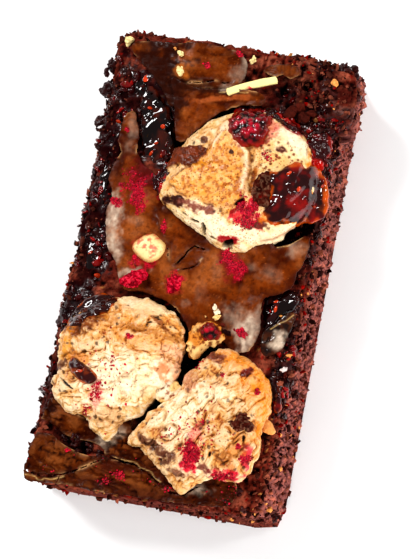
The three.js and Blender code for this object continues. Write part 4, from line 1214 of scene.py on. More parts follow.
REAR_LOOK = {
    "ragged": 0.5, "froth": 0.42, "toast": 0.1, "grain": (30, 1.1), "pores": 0.85, "decorate": decorate_rear,
    "calm": [(21, 11.4, 7, 1.9, 38, 0.9), (3, 20.6, 7, 4.6, 10, 0.45), (20.4, 27.6, 5, 3, -50, 0.5)],
    "browned": [(3, 20.6, 8, 4.4, 10, 0.3)],
    "pale": [(21, 11.4, 7, 2.6, 38, 0.8), (18.6, 32, 5, 2.4, -40, 0.6), (5, 11, 7, 3, -20, 1.0),
             (14, 10.6, 5, 2.4, 0, 0.9)],
}
LEFT_LOOK = {
    "ragged": 0.8, "froth": 1.05, "toast": 0.25, "grain": (12, 1.5), "pores": 0.25, "decorate": decorate_left,
    "calm": [(-8, -9.6, 6.4, 2, -8, 0.95)],
    "browned": [(-6, -15.6, 10, 4.4, -6, 1.2), (2, -21.6, 2.4, 4, 30, 0.4), (-21.6, -22, 2.4, 6, 0, 0.4)],
    "pale": [(-8, -9.6, 6.4, 1.9, -8, 0.6), (-10, -27, 8, 5.5, 10, 0.85), (-1, -25, 4, 4, 0, 0.7),
             (1.6, -18.6, 2.4, 1.4, 0, 0.7)],
}
RIGHT_LOOK = {
    "ragged": 0.7, "froth": 1.1, "toast": 0.5, "grain": (58, 1.7), "pores": 0.3, "decorate": decorate_right,
    "calm": [],
    "browned": [(18, -21, 8, 4, -20, 1.0), (17, -41, 7, 4, 0, 0.8), (4, -42, 6, 2.4, -24, 0.7),
                (21, -32, 3, 6, 0, 0.7)],
    "pale": [(5, -33, 4.4, 7, 20, 0.6), (13, -27, 4, 3, 0, 0.4), (12, -44, 6, 2.4, -20, 0.4)],
}


# Jam, cooked berries, chips and crumb lumps laid over outlines

def lying_on(puff):
    """Gives the height of a built marshmallow at plan points, and that of the crumb beside it."""
    upper = puff[puff[:, 2] > MARSHMALLOW_EDGE - 0.6]
    tree = KDTree(len(upper))
    for number, (x, y, _) in enumerate(upper):
        tree.insert((x, y, 0), number)
    tree.balance()

    def heights(xy):
        levels = crumb_height(*xy.T) + 0.9
        for number, (x, y) in enumerate(xy):
            found = tree.find_n((x, y, 0), 24)
            near = 1 - float(smoothstep(0.2, 0.9, found[0][2]))
            levels[number] += near * (np.mean([upper[index, 2] for _, index, _ in found]) - levels[number])
        return levels
    return heights


def build_lump(name, node, outline, crown, edge, bottom, paint_with, material, slot, seed, ripple, grain,
               knob=0.0, drape=None):
    """A rounded lump over an outline, rippled, grained or knobbly, that stands for a node.

    With drape, the lump lies as a sheet on the heights that this gives, and crown and edge count from there.
    """
    around, rings = LUMP_AROUND, LUMP_RINGS
    steps = np.linspace(0, 1, rings)
    over, down = np.clip(steps / 0.8, 0, 1), np.clip((steps - 0.8) / 0.2, 0, 1)
    reach = np.sin(over * math.pi / 2)
    height = edge + (crown - edge) * np.sqrt(np.clip(1 - reach**2.6, 0, 1))
    points = puff_points(outline, around, rings, lambda _: (reach - 0.1 * down, height))
    uneven = fractal(flat(points[:, 0], points[:, 1]), 2.6, seed + 11, 3)
    push_out(points, 0.8 * ripple * uneven * np.repeat(reach, around) ** 2)
    if drape:
        points[:, 2] += drape(points[:, :2])
    down = np.repeat(down, around)
    points[:, 2] += (bottom - points[:, 2]) * down
    normals = puff_normals(points, rings, around)
    ripples = fractal(leaned(points, 52, 2.0), 2.2, seed, 2)
    coarse = fractal(points, 0.8, seed + 5, 3)
    near, _ = cells(points * (1, 1, 0.7), 1.5, seed + 8)
    lift = (ripple * ripples + grain * coarse + knob * (0.5 - near)) * (1 - 0.7 * down)
    tint, wet = paint_with(points, ripples, 0.5 - near if knob else coarse, seed, np.repeat(reach, around))
    points = points + normals * lift[:, None]
    closed, faces = closed_rings(points, rings, around)
    piece = make_object(name, closed, faces, np.vstack([tint, tint[-1]]), np.append(wet, wet[-1]), material)
    if node:
        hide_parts(node)
    return points


SMEARS = [
    # outline, rise of middle and edge: thin wet jam run into the crumb round the rear marshmallow
    ([(5, 38.4), (6.9, 39.9), (10.7, 41), (13.4, 41), (16.6, 40), (19.1, 38.2), (22.1, 36), (20.6, 35.2),
     (18.5, 36.6), (15.6, 37.6), (13, 37.6), (10.4, 37.9), (7, 37.4)], 0.7, -0.5),
    ([(22.7, 33.4), (23.4, 35.6), (25.7, 36.7), (27.6, 36.1), (27.9, 33.5), (27.4, 30.7), (27, 28),
     (25.2, 27), (24.4, 29.7), (23.9, 31.8)], 0.8, -0.4),
    ([(-9, 24), (-7.2, 22.4), (-8.4, 18), (-9.4, 15.6), (-11.6, 17), (-11.6, 21)], 0.6, -0.5),
]


def jam_paint(deep=JAM_DEEP, bright=JAM_RED, amount=0.5, rim=JAM_AMBER):
    """Jam that is dark where it lies thick, with a bright rim where it runs thin."""
    def paint_with(points, ripples, coarse, seed, reach):
        thin = smoothstep(0.84, 1.0, reach + 0.2 * fractal(points, 2, seed + 9, 2) - 0.03)
        clear = smoothstep(-0.1, 0.8, fractal(points, 2.6, seed + 7, 3))
        tint = painted(points, deep, (bright, amount * clear), (rim, 0.65 * amount * thin))
        return tint, np.ones(len(points))
    return paint_with


def crumb_paint(points, ripples, coarse, seed, reach):
    tint = 0.6 * crumb_tint(points, coarse * 0.6, np.zeros(len(points)))
    tint = mix(tint, paint(112, 78, 60), 0.7 * smoothstep(-0.1, 0.5, fractal(points, 0.5, seed + 4, 2)))
    return tint, 0.2 * smoothstep(0.1, 0.8, ripples)


def berry_paint(points, ripples, coarse, seed, reach):
    """Dried raspberry: crimson grit with pink and dark grains."""
    speck = fractal(points, 0.4, seed + 6, 2)
    tint = painted(
        points, BERRY,
        (BERRY_DARK, 0.85 * smoothstep(0, 0.35, speck)),
        (paint(226, 70, 92), 0.5 * smoothstep(0.1, 0.4, -speck)),
        # The dips between the grains are painted darker, as painted shade
        (BERRY_DARK * 0.6, smoothstep(0.1, -0.4, coarse)),
    )
    return tint, np.zeros(len(points))


def cooked_paint(points, ripples, coarse, seed, reach):
    """Cooked raspberry: dark red grains with their seams painted black as shade, dusted with crimson on top.
    """
    fray = 0.5 * fractal(points, 1.2, seed + 3, 3)
    dust = smoothstep(0.75, 0.2, reach + fray) * smoothstep(-0.2, 0.3, coarse)
    # The seams between the grains are painted near black, as painted shade
    tint = painted(
        points, paint(104, 8, 12),
        (JAM_DEEP * 0.3, smoothstep(0.1, -0.25, coarse)),
        (paint(150, 30, 6), 0.6 * smoothstep(0.75, 1.0, reach)),
        (BERRY * 0.9, 0.85 * dust),
    )
    return tint, 1 - 0.9 * dust


def chip_paint(points, ripples, coarse, seed, reach):
    """White chocolate, amber at its edge and dusted with crimson."""
    dust = blot(points, -10.4, 5, 3.4, 2.8, 20, 0.5, 1.0, seed + 3)
    dust = dust * smoothstep(-0.3, 0.2, fractal(points, 0.8, seed + 4, 3))
    edge = smoothstep(0.7, 1.0, reach)
    tint = painted(points, WHITE_CHOCOLATE, (paint(196, 140, 70), 0.8 * edge),
                   (paint(206, 36, 44), 0.75 * dust))
    return tint, np.full(len(points), 0.5)


def nut_paint(points, ripples, coarse, seed, reach):
    tint = painted(points, NUT_TAN, (CARAMEL * 0.8, 0.6 * smoothstep(0.1, 0.7, ripples)))
    return tint, np.full(len(points), 0.2)


def scrap_paint(points, ripples, coarse, seed, reach):
    # Painted highlight on the crests of the ripples and painted shade in the creases
    creases = smoothstep(0, -0.5, coarse)
    tint = painted(points, TOAST, (CREAM, smoothstep(0.1, 0.7, ripples)), (CARAMEL * 0.6, 0.9 * creases))
    return tint, np.full(len(points), 0.3)


def bridge_paint(points, ripples, coarse, seed, reach):
    # Painted highlight on the crests of the ripples and painted shade in the creases
    creases = smoothstep(0, -0.5, coarse)
    tint = painted(points, CREAM, (CREST, smoothstep(0, 0.5, ripples)), (CARAMEL, 0.8 * creases))
    return tint, np.full(len(points), 0.2)


LUMPS = [
    # name, outline, heights of middle and edge, underside, colours, ripple, grain, knob and what it lies on
    ("jam_rear_right", [(15.9, 24.7), (17.7, 26.1), (19.4, 26.8), (21, 27.5), (22.4, 28.2), (23.8, 27.9),
     (25.4, 28.6), (26.9, 28.1), (28.3, 26.4), (29.3, 24.4), (29.7, 21.8), (29.8, 19.4), (29.2, 17.6),
     (27.6, 16.5), (25.7, 15.7), (23.4, 14.1), (21, 13.1), (18.4, 12.9), (16.2, 13.9), (15.9, 15.6),
     (16.9, 17.1), (16.8, 19.6), (16.9, 21.6)], 1.4, -0.3, 23.6, "jam", jam_paint(paint(40, 2, 2),
     paint(124, 8, 3), 1.0), 0.65, 0.02, 0, "rear"),
    ("jam_rear_left", [(-22.8, 46), (-21, 46.8), (-19, 45.6), (-17.7, 43.2), (-15.2, 41.4), (-12.9, 39.6),
     (-11.4, 37), (-9.8, 34.6), (-8.7, 31.4), (-8.4, 28), (-9, 25.6), (-10.8, 24), (-13.1, 23.6), (-15, 24.6),
     (-16.2, 26.8), (-16.1, 29.4), (-17.2, 32.2), (-18.6, 37.6), (-19.9, 40.8), (-21.8, 43.2)], 23.8, 22.2,
     20.2, "jam", jam_paint(JAM_DEEP * 0.15, paint(84, 26, 10), 0.75, paint(96, 34, 12)), 0.55, 0.02, 0.35,
     None),
    ("jam_left_edge", [(-23.6, 26), (-22.4, 24), (-22.4, 14), (-21.8, 4), (-20.4, -2), (-19.2, -7), (-22, -8),
     (-24, -2), (-25, 8), (-24.8, 18)], 21.8, 21, 18.6, "jam",
     jam_paint(JAM_DEEP * 0.2, JAM_DEEP, 0.6, JAM_DEEP), 0.5, 0.1, 0.4, None),
    ("jam_middle_right", [(19.6, -2.6), (22, -2), (25.2, -0.3), (27, -2), (26.4, -4.4), (23.6, -6.4),
     (22, -9.6), (20.6, -11.6), (19.6, -9)], 24.4, 23.4, 20.2, "jam",
     jam_paint(JAM_DEEP * 0.2, JAM_DEEP, 0.7, JAM_DEEP), 0.55, 0.1, 0.3, None),
    ("jam_front_right", [(25.4, -20.6), (26.8, -21.2), (27.6, -24.6), (27.4, -27.4), (26.2, -28),
     (25.7, -25)], 24, 22.8, 20.2, "jam", jam_paint(JAM_DEEP, JAM_RED, 0.6), 0.35, 0.1, 0.3, None),
    ("jam_on_left_marshmallow", [(-24.9, -17.2), (-24.4, -14.4), (-22.8, -11.4), (-20.4, -9.2), (-17.4, -8.2),
     (-14.3, -8.6), (-13.6, -10.3), (-14.6, -12.6), (-16.7, -13.9), (-18.9, -15.2), (-20.8, -17.4)], 1.1,
     -0.3, 23.8, "jam", jam_paint(paint(40, 4, 2), paint(120, 44, 4), 0.9), 0.35, 0.05, 0, "left"),
    ("jam_drop", [(-21.6, -25.4), (-20.2, -24.2), (-18.3, -25.2), (-16.2, -26.2), (-14.2, -27.6),
     (-14.9, -29.3), (-17.2, -29.7), (-19.4, -28.8), (-21.1, -27.1)], 1.7, 0.1, 26.4, "jam",
     jam_paint(paint(50, 3, 2), paint(150, 60, 6), 0.9), 0.3, 0.03, 0, "left"),
    ("cooked_berry_rear", [(4, 35.4), (4.8, 37.4), (6.6, 38.9), (9.2, 39.6), (12, 39.4), (13.7, 37.6),
     (13.5, 35.2), (14, 33.2), (13.1, 31.2), (11.4, 30.3), (9.5, 29.9), (7.6, 30.6), (5.4, 32.4)], 1.8, -0.4,
     25.4, "jam", cooked_paint, 0.3, 0.08, 0.9, "rear"),
    ("cooked_berry_middle", [(6.4, -12.6), (7.2, -11.6), (8.7, -11), (10.8, -11.6), (11.5, -13.2),
     (10.6, -14.9), (8.8, -15.2), (7.2, -14.6)], 28.8, 27, 24.4, "jam", cooked_paint, 0.3, 0.1, 0.9, None),
    ("crumb_on_rear_marshmallow", [(13.6, 23.6), (14.3, 24.8), (15.6, 25.3), (16.9, 24.8), (17.8, 23.6),
     (17.8, 21.7), (17.4, 19.8), (17.8, 17.8), (17.2, 16.1), (16, 16.6), (14.5, 17.6), (13.1, 19),
     (12.9, 20.9)], 1.3, -0.3, 27, "crumb", crumb_paint, 0.3, 0.4, 0.3, "rear"),
    ("crumb_on_right_marshmallow", [(17.5, -32.5), (18.7, -31.4), (19.8, -30.1), (21.3, -29.8), (22.2, -30.6),
     (21.8, -31.6), (23, -32.3), (22.7, -33.6), (21.1, -33.3), (20.1, -34.4), (18.6, -33.7)], 1.2, -0.3, 27.4,
     "crumb", crumb_paint, 0.3, 0.4, 0.3, "right"),
    ("white_chip", [(-13, 3), (-11.7, 5.6), (-8.8, 7.1), (-6, 5.9), (-4.9, 3.4), (-6.6, 1), (-9.8, 0.6)],
     27.9, 25, 22.6, "chocolate", chip_paint, 0.2, 0.06, 0, None),
    ("nut_piece", [(24.6, -30.7), (25.8, -30.4), (27.6, -32.4), (26.8, -33.5), (24.9, -33.1)], 26.2, 25.2,
     22.6, "chocolate", nut_paint, 0.2, 0.15, 0, None),
    ("berry_chunk_left", [(-14.4, -4.8), (-12, -3.2), (-9.6, -1.6), (-8.6, -3), (-10.6, -5.4), (-13.2, -6.4)],
     27.2, 26, 23.8, "powder", berry_paint, 0.4, 0.6, 0.3, None),
    ("berry_chunk_middle", [(-3.4, -3), (-1.6, -1.2), (-0.2, -2.6), (-0.6, -5), (-2.8, -5.4)], 27.4, 26, 24,
     "powder", berry_paint, 0.4, 0.6, 0.3, None),
    ("marshmallow_scrap", [(4.2, -13.6), (6, -11.4), (9.4, -10.8), (12.2, -12.6), (11, -15), (8.2, -17),
     (6.8, -19), (5, -19.2), (4.4, -16.6)], 27.2, 26, 22.5, "marshmallow", scrap_paint, 0.45, 0.45, 0, None),
]
SLOTS = {
    # slot of a topping by the first word of its name
    "jam": "jam", "cooked": "cooked_berry", "crumb": "crumb", "white": "white_chocolate", "nut": "nut",
    "berry": "dried_berry", "marshmallow": "marshmallow",
}


def build_toppings(surfaces):
    built = []
    for number, (node, outline, crown, edge, bottom, material, colours, *texture, drape) in enumerate(LUMPS):
        slot = SLOTS[node.split("_")[0]]
        points = build_lump(node + "_surface", node, outline, crown, edge, bottom, colours,
                            MATERIALS[material], slot, 200 + 10 * number, *texture, surfaces.get(drape))
        built.append(points[points[:, 2] > bottom + 0.5])
    return np.concatenate(built)


# Torn crust that closes the middle of the gap between the two front marshmallows
CRUST_BRIDGE = [
    (0.2, -26.8), (1.4, -25.2), (3.6, -25.6), (5, -27), (4.4, -29), (2.6, -30.2), (0.4, -30.8), (-1, -29.6),
    (-0.9, -28),
]


def build_smears(drape):
    """The crust between the front marshmallows, and thin jam round the rear one."""
    build_lump("crust_bridge", None, CRUST_BRIDGE, 27.4, 26.4, 22, bridge_paint, MATERIALS["marshmallow"],
               "marshmallow", 480, 0.35, 0.35)
    red_jam = jam_paint(JAM_DEEP, paint(170, 16, 6), 1.0, paint(150, 20, 6))
    for number, (outline, crown, edge) in enumerate(SMEARS):
        build_lump("jam_smear_%d" % (number + 1), None, outline, crown, edge, SMEAR_BOTTOM, red_jam,
                   MATERIALS["jam"], "jam", 420 + 10 * number, 0.5, 0.3, 0.9, drape)


def build_stick():
    """Cut stick of white chocolate with worn edges and a slight bow."""
    _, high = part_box("white_stick")
    start, end = np.array(STICK_START), np.array(STICK_END)
    run = end - start
    length = np.linalg.norm(run)
    side = np.array([-run[1], run[0]]) / length
    angle = np.linspace(0, 2 * math.pi, STICK_SECTION, endpoint=False)
    squarish = STICK_HALF_WIDTH * np.sign(np.cos(angle)) * np.abs(np.cos(angle)) ** 0.35
    upright = STICK_HALF_HEIGHT * np.sign(np.sin(angle)) * np.abs(np.sin(angle)) ** 0.35
    points = []
    for t in np.linspace(0, 1, STICK_STEPS):
        shrink = min(1, (min(t, 1 - t) * length + 0.02) / 0.16) ** 0.5
        middle = start + run * t + side * (STICK_BOW * math.sin(math.pi * t))
        plan = middle + side[None] * (squarish * shrink)[:, None]
        level = np.full(STICK_SECTION, high.z / MM - STICK_HALF_HEIGHT) + upright * shrink
        points.append(np.column_stack([plan, level]))
    points = np.concatenate(points)
    points += 0.05 * np.stack([fractal(points, 1.5, 400 + k, 3) for k in range(3)], -1)
    red = np.exp(-(((points[:, 0] - 7.4) / 0.7) ** 2)) * (points[:, 1] < 44.4)
    tint = painted(points, paint(238, 220, 150), (BERRY, red))
    first = np.arange(STICK_SECTION)
    after = np.roll(first, -1)
    last_ring = (STICK_STEPS - 1) * STICK_SECTION
    start_cap = np.stack([np.full(STICK_SECTION, len(points)), after, first], -1)
    end_cap = np.stack([first + last_ring, after + last_ring, np.full(STICK_SECTION, len(points) + 1)], -1)
    points = np.vstack([points, points[:STICK_SECTION].mean(0), points[-STICK_SECTION:].mean(0)])
    tint = np.vstack([tint, tint[:1], tint[-1:]])
    faces = [ring_faces(STICK_STEPS, STICK_SECTION), start_cap, end_cap]
    piece = make_object("white_stick_cut", points, faces, tint, np.full(len(points), 0.4),
                        MATERIALS["chocolate"])
    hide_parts("white_stick")


# Grains, seeds and loose crumbs

def ball(detail):
    """Unit icosphere as points and triangles."""
    golden = (1 + 5**0.5) / 2
    points = [(-1, golden, 0), (1, golden, 0), (-1, -golden, 0), (1, -golden, 0),
              (0, -1, golden), (0, 1, golden), (0, -1, -golden), (0, 1, -golden),
              (golden, 0, -1), (golden, 0, 1), (-golden, 0, -1), (-golden, 0, 1)]
    points = [np.array(p) / np.linalg.norm(p) for p in points]
    faces = [(0, 11, 5), (0, 5, 1), (0, 1, 7), (0, 7, 10), (0, 10, 11), (1, 5, 9), (5, 11, 4), (11, 10, 2),
             (10, 7, 6), (7, 1, 8), (3, 9, 4), (3, 4, 2), (3, 2, 6), (3, 6, 8), (3, 8, 9), (4, 9, 5),
             (2, 4, 11), (6, 2, 10), (8, 6, 7), (9, 8, 1)]
    for _ in range(detail):
        halves, finer = {}, []
        for a, b, c in faces:
            mids = []
            for pair in ((a, b), (b, c), (c, a)):
                key = tuple(sorted(pair))
                if key not in halves:
                    halves[key] = len(points)
                    middle = points[pair[0]] + points[pair[1]]
                    points.append(middle / np.linalg.norm(middle))
                mids.append(halves[key])
            finer += [(a, mids[0], mids[2]), (b, mids[1], mids[0]), (c, mids[2], mids[1]), tuple(mids)]
        faces = finer
    return np.array(points), np.array(faces)


def turned(draw, count):
    """Random rotations."""
    q = draw.normal(size=(count, 4))
    w, x, y, z = (q / np.linalg.norm(q, axis=1, keepdims=True)).T
    rows = [[1 - 2 * (y * y + z * z), 2 * (x * y - z * w), 2 * (x * z + y * w)],
            [2 * (x * y + z * w), 1 - 2 * (x * x + z * z), 2 * (y * z - x * w)],
            [2 * (x * z - y * w), 2 * (y * z + x * w), 1 - 2 * (x * x + y * y)]]
    return np.array(rows).transpose(2, 0, 1)


def scatter(name, places, sizes, detail, rough, colours, wet, material, seed, stretch=(1, 1, 1)):
    """One joined mesh of rough grains at the given places."""
    draw = np.random.default_rng(seed)
    unit, faces = ball(detail)
    count = len(places)
    shape = unit[None] * np.array(stretch) * (1 + 0.25 * draw.normal(size=(count, 1, 3)))
    turns = turned(draw, count)
    local = np.einsum("nij,nkj->nki", turns, shape)
    apart = (local + draw.uniform(0, 50, (count, 1, 3))).reshape(-1, 3)
    bumps = fractal(apart, 0.9, seed, 2).reshape(count, -1, 1)
    local = local * (1 + rough * bumps)
    points = (places[:, None] + local * sizes[:, None, None]).reshape(-1, 3)
    all_faces = (faces[None] + (np.arange(count) * len(unit))[:, None, None]).reshape(-1, 3)
    tint = np.repeat(colours, len(unit), axis=0)
    return make_object(name, points, [all_faces], tint, np.full(len(points), wet), material,
                       smooth=detail > 0)


def picked(draw, weight, count):
    """Indexes drawn with the given weights."""
    share = weight / weight.sum()
    return draw.choice(len(weight), size=count, p=share)


SEEDS = [
    (-17.9, 43.3), (-11.7, 32.5), (-13.4, 26), (-10.8, 26.2), (-23.4, 0.8), (-20.5, -4.3), (-22.8, 32.3),
    (27.9, 24.7), (27, 19.4), (22.1, -3.3), (22.4, -5.1), (-18, -27.3), (-15.6, 36.4), (23.4, 22.2),
    (20.6, 25.4), (26.6, 33.4), (-12.6, 28.4),
]


def build_seeds(surface):
    """Amber seeds half sunk in the jam."""
    places = []
    for x, y in SEEDS:
        near = surface[np.argsort(np.hypot(surface[:, 0] - x, surface[:, 1] - y))[:12]]
        places.append((x, y, near[:, 2].max() - 0.05))
    places = np.array(places)
    draw = np.random.default_rng(5)
    colours = SEED_AMBER * draw.uniform(0.6, 1.15, (len(places), 1))
    scatter("jam_seeds", places, np.full(len(places), SEED_RADIUS), 3, 0.08, colours, 0.8,
            MATERIALS["seed"], 6, (1.5, 0.85, 0.6))


def build_powder(surfaces):
    """Crimson dust and crushed berry in patches on the skin, the marshmallows and the front."""
    draw = np.random.default_rng(8)
    places = []
    for points, patches in surfaces:
        for *oval, count in patches:
            weight = blot(points, *oval, 0.6, 0.9, 90) ** 2
            if weight.sum() > 0:
                places.append(points[picked(draw, weight, 3 * count)])
    places = np.concatenate(places)
    places += draw.normal(scale=0.1, size=places.shape) * (1, 1, 0.6)
    sizes = 0.09 + 0.2 * draw.random(len(places)) ** 2
    colours = BERRY * (1 - draw.random((len(places), 1)) * 0.7) + 0.02 * draw.random((len(places), 1))
    scatter("berry_powder", places, sizes, 0, 0.4, colours, 0.0, MATERIALS["powder"], 9)


POWDER_ON_REAR = [
    # middle x, middle y, half width, half length, turn, grains
    (13.4, 15.4, 1.8, 2.6, 20, 160), (11.2, 16.6, 1, 2.2, 0, 60), (10.3, 39, 1, 1, 0, 30),
    (10.1, 34.2, 1.3, 1, 0, 70), (15.2, 28.4, 1.2, 1.4, 0, 20), (12, 12.6, 2.4, 1.4, 0, 30),
]
POWDER_ON_LEFT = [
    (-13.8, -31.2, 1.1, 2, 10, 50), (-15.7, -35.7, 0.8, 1.6, 0, 30), (-8.7, -17.3, 0.6, 0.4, 0, 12),
    (-12, -27, 6, 8, 0, 50),
]
POWDER_ON_RIGHT = [
    (10.4, -41.6, 1.5, 2.4, 20, 240), (18.4, -44.2, 2.6, 1, 5, 130), (14, -22.2, 0.5, 0.5, 0, 14),
    (22.3, -24.8, 0.5, 0.8, 0, 22), (20.6, -37.5, 0.5, 0.9, 0, 24), (22.6, -39.4, 1.6, 0.8, 30, 60),
    (10, -36, 7, 8, 0, 70), (8, -20.4, 1.4, 1.2, 0, 24),
]
POWDER_ON_FRONT = [
    (-18.6, -45.3, 0.5, 0.4, 0, 10), (-6.3, -49, 1.2, 1, 0, 34), (-9, -50.6, 1.4, 1, 0, 16),
    (5.9, -49.9, 1, 0.8, 0, 6), (21, -48, 3, 2.4, 0, 12), (0, -48, 22, 5, 0, 16),
]


def build_grit(points, normals, wet):
    """Loose and half-set crumbs on the bare crumb, the torn edges and the sides."""
    draw = np.random.default_rng(12)
    x, y, z = points.T
    from_edge = np.minimum(27 - np.abs(x), 53.5 - np.abs(y))
    bare = np.where(z < 21, 0.5, 0) + smoothstep(2.5, 0.2, from_edge) * (z > 18)
    rear_right = blot(points, 22, 46, 8, 9, 0, 0.3, 0.3, 3) + blot(points, 26, 25, 4, 22, 0, 0.3, 0.3, 4)
    left_edge = blot(points, -25, 20, 4, 34, 0, 0.3, 0.3, 6)
    front_right = blot(points, 27, -25, 4, 26, 0, 0.3, 0.3, 5)
    bare = bare + 2.0 * rear_right * (z > 20)
    bare = bare + 1.5 * (front_right + 0.5 * left_edge) * (z > 18)
    bare = bare + 2.0 * blot(points, -18, -43.4, 6, 1.6, -5, 0.3, 0.3, 7) * (z > 18)
    bare = bare * smoothstep(0.6, 2.0, z)
    chosen = picked(draw, bare, CRUMB_COUNT)
    sizes = 0.14 + 0.6 * draw.random(CRUMB_COUNT) ** 3.5
    places = points[chosen] + normals[chosen] * (sizes * 0.35)[:, None]
    shades = draw.random((CRUMB_COUNT, 1))
    colours = CRUMB_DARK * (1 - shades**2) + CRUMB_LIGHT * 0.8 * shades**2
    colours = np.where(draw.random((CRUMB_COUNT, 1)) < 0.1, JAM_RED * 0.7, colours)
    colours = np.where(draw.random((CRUMB_COUNT, 1)) < 0.02, NUT_TAN, colours)
    soaked = wet[chosen] > 0.45
    colours[soaked] = colours[soaked] * 0.25 + JAM_DEEP * 0.5
    for name, part, gloss, detail in (("crumbs_dry", ~soaked, 0.0, 0), ("crumbs_soaked", soaked, 1.0, 1)):
        scatter(name, places[part], sizes[part], detail, 0.8, colours[part], gloss, MATERIALS["crumb"],
                14, (1.2, 1.0, 0.7))


SMALL_BITS = [
    # x, y, z, size and colour of chips, flakes and nut crumbs
    (-23.6, 51.4, 23.8, 1.15, WHITE_CHOCOLATE), (-10.3, 49.9, 26.2, 0.7, WHITE_CHOCOLATE),
    (-9.7, 45.7, 25.9, 0.75, WHITE_CHOCOLATE * 0.92), (6.6, 51.2, 25.2, 0.6, WHITE_CHOCOLATE * 0.92),
    (26.2, 49, 23.6, 0.85, NUT_TAN * 1.1), (26.6, -18.2, 23.4, 0.75, paint(214, 196, 190)),
    (27.2, -14.9, 23.2, 0.7, NUT_TAN), (24, -6.4, 24.6, 0.5, NUT_TAN), (-6.6, 51.6, 25.4, 0.45, NUT_TAN),
    (-12, 51, 25.4, 0.4, NUT_TAN), (8.9, -7.3, 26.6, 0.8, CREST), (9.6, -9.4, 26.4, 0.7, CREAM),
    (9.5, -8.3, 26.6, 0.6, CREST), (7, -9.6, 26.4, 0.5, CREAM), (12.4, -12.4, 26, 0.7, CRUMB_DARK),
    (11.4, -10.8, 26.2, 0.6, CRUMB_BROWN), (-4.6, 48, 26.4, 0.4, BERRY),
    (17.4, 40.4, 24.4, 1.5, CRUMB_BROWN * 0.6), (20.6, 39.8, 24, 1.6, CRUMB_BROWN * 0.5),
    (19.2, 42, 23.8, 1.3, CRUMB_BROWN * 0.7), (22.2, 41, 23.4, 1.1, CRUMB_BROWN * 0.6),
]


def build_small_bits():
    *places, sizes, colours = zip(*SMALL_BITS)
    places = np.transpose(places) - (0, 0, 0.2)
    scatter("small_bits", places, np.array(sizes), 3, 0.6, np.array(colours), 0.15, MATERIALS["powder"],
            31, (1.1, 0.9, 0.75))


def build_jam_bits(points, normals, wet):
    """Small glossy lumps of dark red jam caught in the wet crumb."""
    draw = np.random.default_rng(17)
    chosen = picked(draw, wet**2 * (points[:, 2] > 19), JAM_BIT_COUNT)
    sizes = 0.3 + 0.8 * draw.random(JAM_BIT_COUNT) ** 2
    colours = JAM_DEEP + (paint(150, 14, 10) - JAM_DEEP) * draw.random((JAM_BIT_COUNT, 1)) ** 2
    places = points[chosen] + 0.2 * normals[chosen]
    scatter("jam_bits", places, sizes, 2, 0.5, colours, 1.0, MATERIALS["jam"], 18, (1.3, 1.0, 0.6))


RIM_CHUNKS = [
    # x, y, z, size of a torn chunk of crumb
    (-27.2, 45, 20.4, 1.7), (-27.7, 39.6, 19, 1.8), (-27.6, 32.4, 19.6, 1.6), (-26.3, 27, 20, 1.3),
    (-26.2, 19, 19, 1.5), (-26, 8, 19, 1.2), (-26.2, 0, 18.6, 1.5), (-27, -8, 18, 1.2),
    (-27.4, -15.6, 19.6, 1.6), (-27.8, -20, 17.6, 1.4), (-27.8, -33, 19.4, 1.3), (28.6, 51.4, 20.4, 2.4),
    (29.6, 47, 18.6, 2.3), (29.4, 41.6, 17.6, 2.0), (29.2, 37, 18, 1.4), (29, 28, 15, 1.2),
    (29.4, -9.6, 14, 1.0), (29.2, -23, 15, 1.0), (29.2, -51.6, 9, 1.1), (27.4, 53, 22, 1.5),
    (-25.6, 50, 20.6, 1.3), (28.4, 33, 20, 1.3), (-20.6, -42.2, 23, 1.1), (-17.6, -43.4, 23.4, 1.4),
    (-14.4, -44, 23.4, 1.2), (-11.8, -44.8, 23.6, 0.9), (-23.4, -41, 22.8, 0.8), (-18.6, 41, 22.8, 1.0),
    (-17.6, 36, 22.8, 1.1), (-12.2, 41.6, 23.4, 0.8), (-16.8, 30.6, 22.8, 0.9), (-9.4, 25.4, 23.6, 0.8),
    (-16.6, -45.2, 24.4, 0.8), (21.6, -47.6, 24, 1.0), (18.6, -50.4, 24, 0.8), (23.4, -50.8, 22.8, 1.0),
    (-27.4, -41, 22, 0.9),
]


def build_chunks():
    """Torn lumps that break the outline of the bar, each a cluster of rough balls."""
    draw = np.random.default_rng(21)
    places, sizes = [], []
    for x, y, z, size in RIM_CHUNKS:
        for _ in range(BALLS_IN_CHUNK):
            places.append(np.array([x, y, z]) + draw.normal(scale=size * 0.42, size=3) * (0.7, 1.1, 0.8))
            sizes.append(size * draw.uniform(0.3, 0.62))
    places, sizes = np.array(places), np.array(sizes)
    shades = draw.random((len(places), 1))
    colours = CRUMB_DARK * (1 - 0.6 * shades) + CRUMB_BROWN * 0.6 * shades
    colours = np.where(places[:, :1] < 0, colours * 0.35 + JAM_DEEP * 0.5, colours * 0.8 + JAM_DEEP * 0.2)
    scatter("torn_chunks", places, sizes, 2, 0.7, colours, 0.6, MATERIALS["crumb"], 22,
            (1.1, 1.0, 0.8))


# Floor, lights and camera

VIEW_TILT_RIGHT = 10.8
VIEW_TILT_FRONT = 5.5
VIEW_ROLL = 10.8
VIEW_DISTANCE = 0.5
VIEW_PIVOT = Vector((0, 0, 0.020))
VIEW_AIM = Vector((0.00534, -0.00049, 0.020))
FOCAL_PIXELS = 2150
PHOTO_HEIGHT = 559
SENSOR_MM = 36


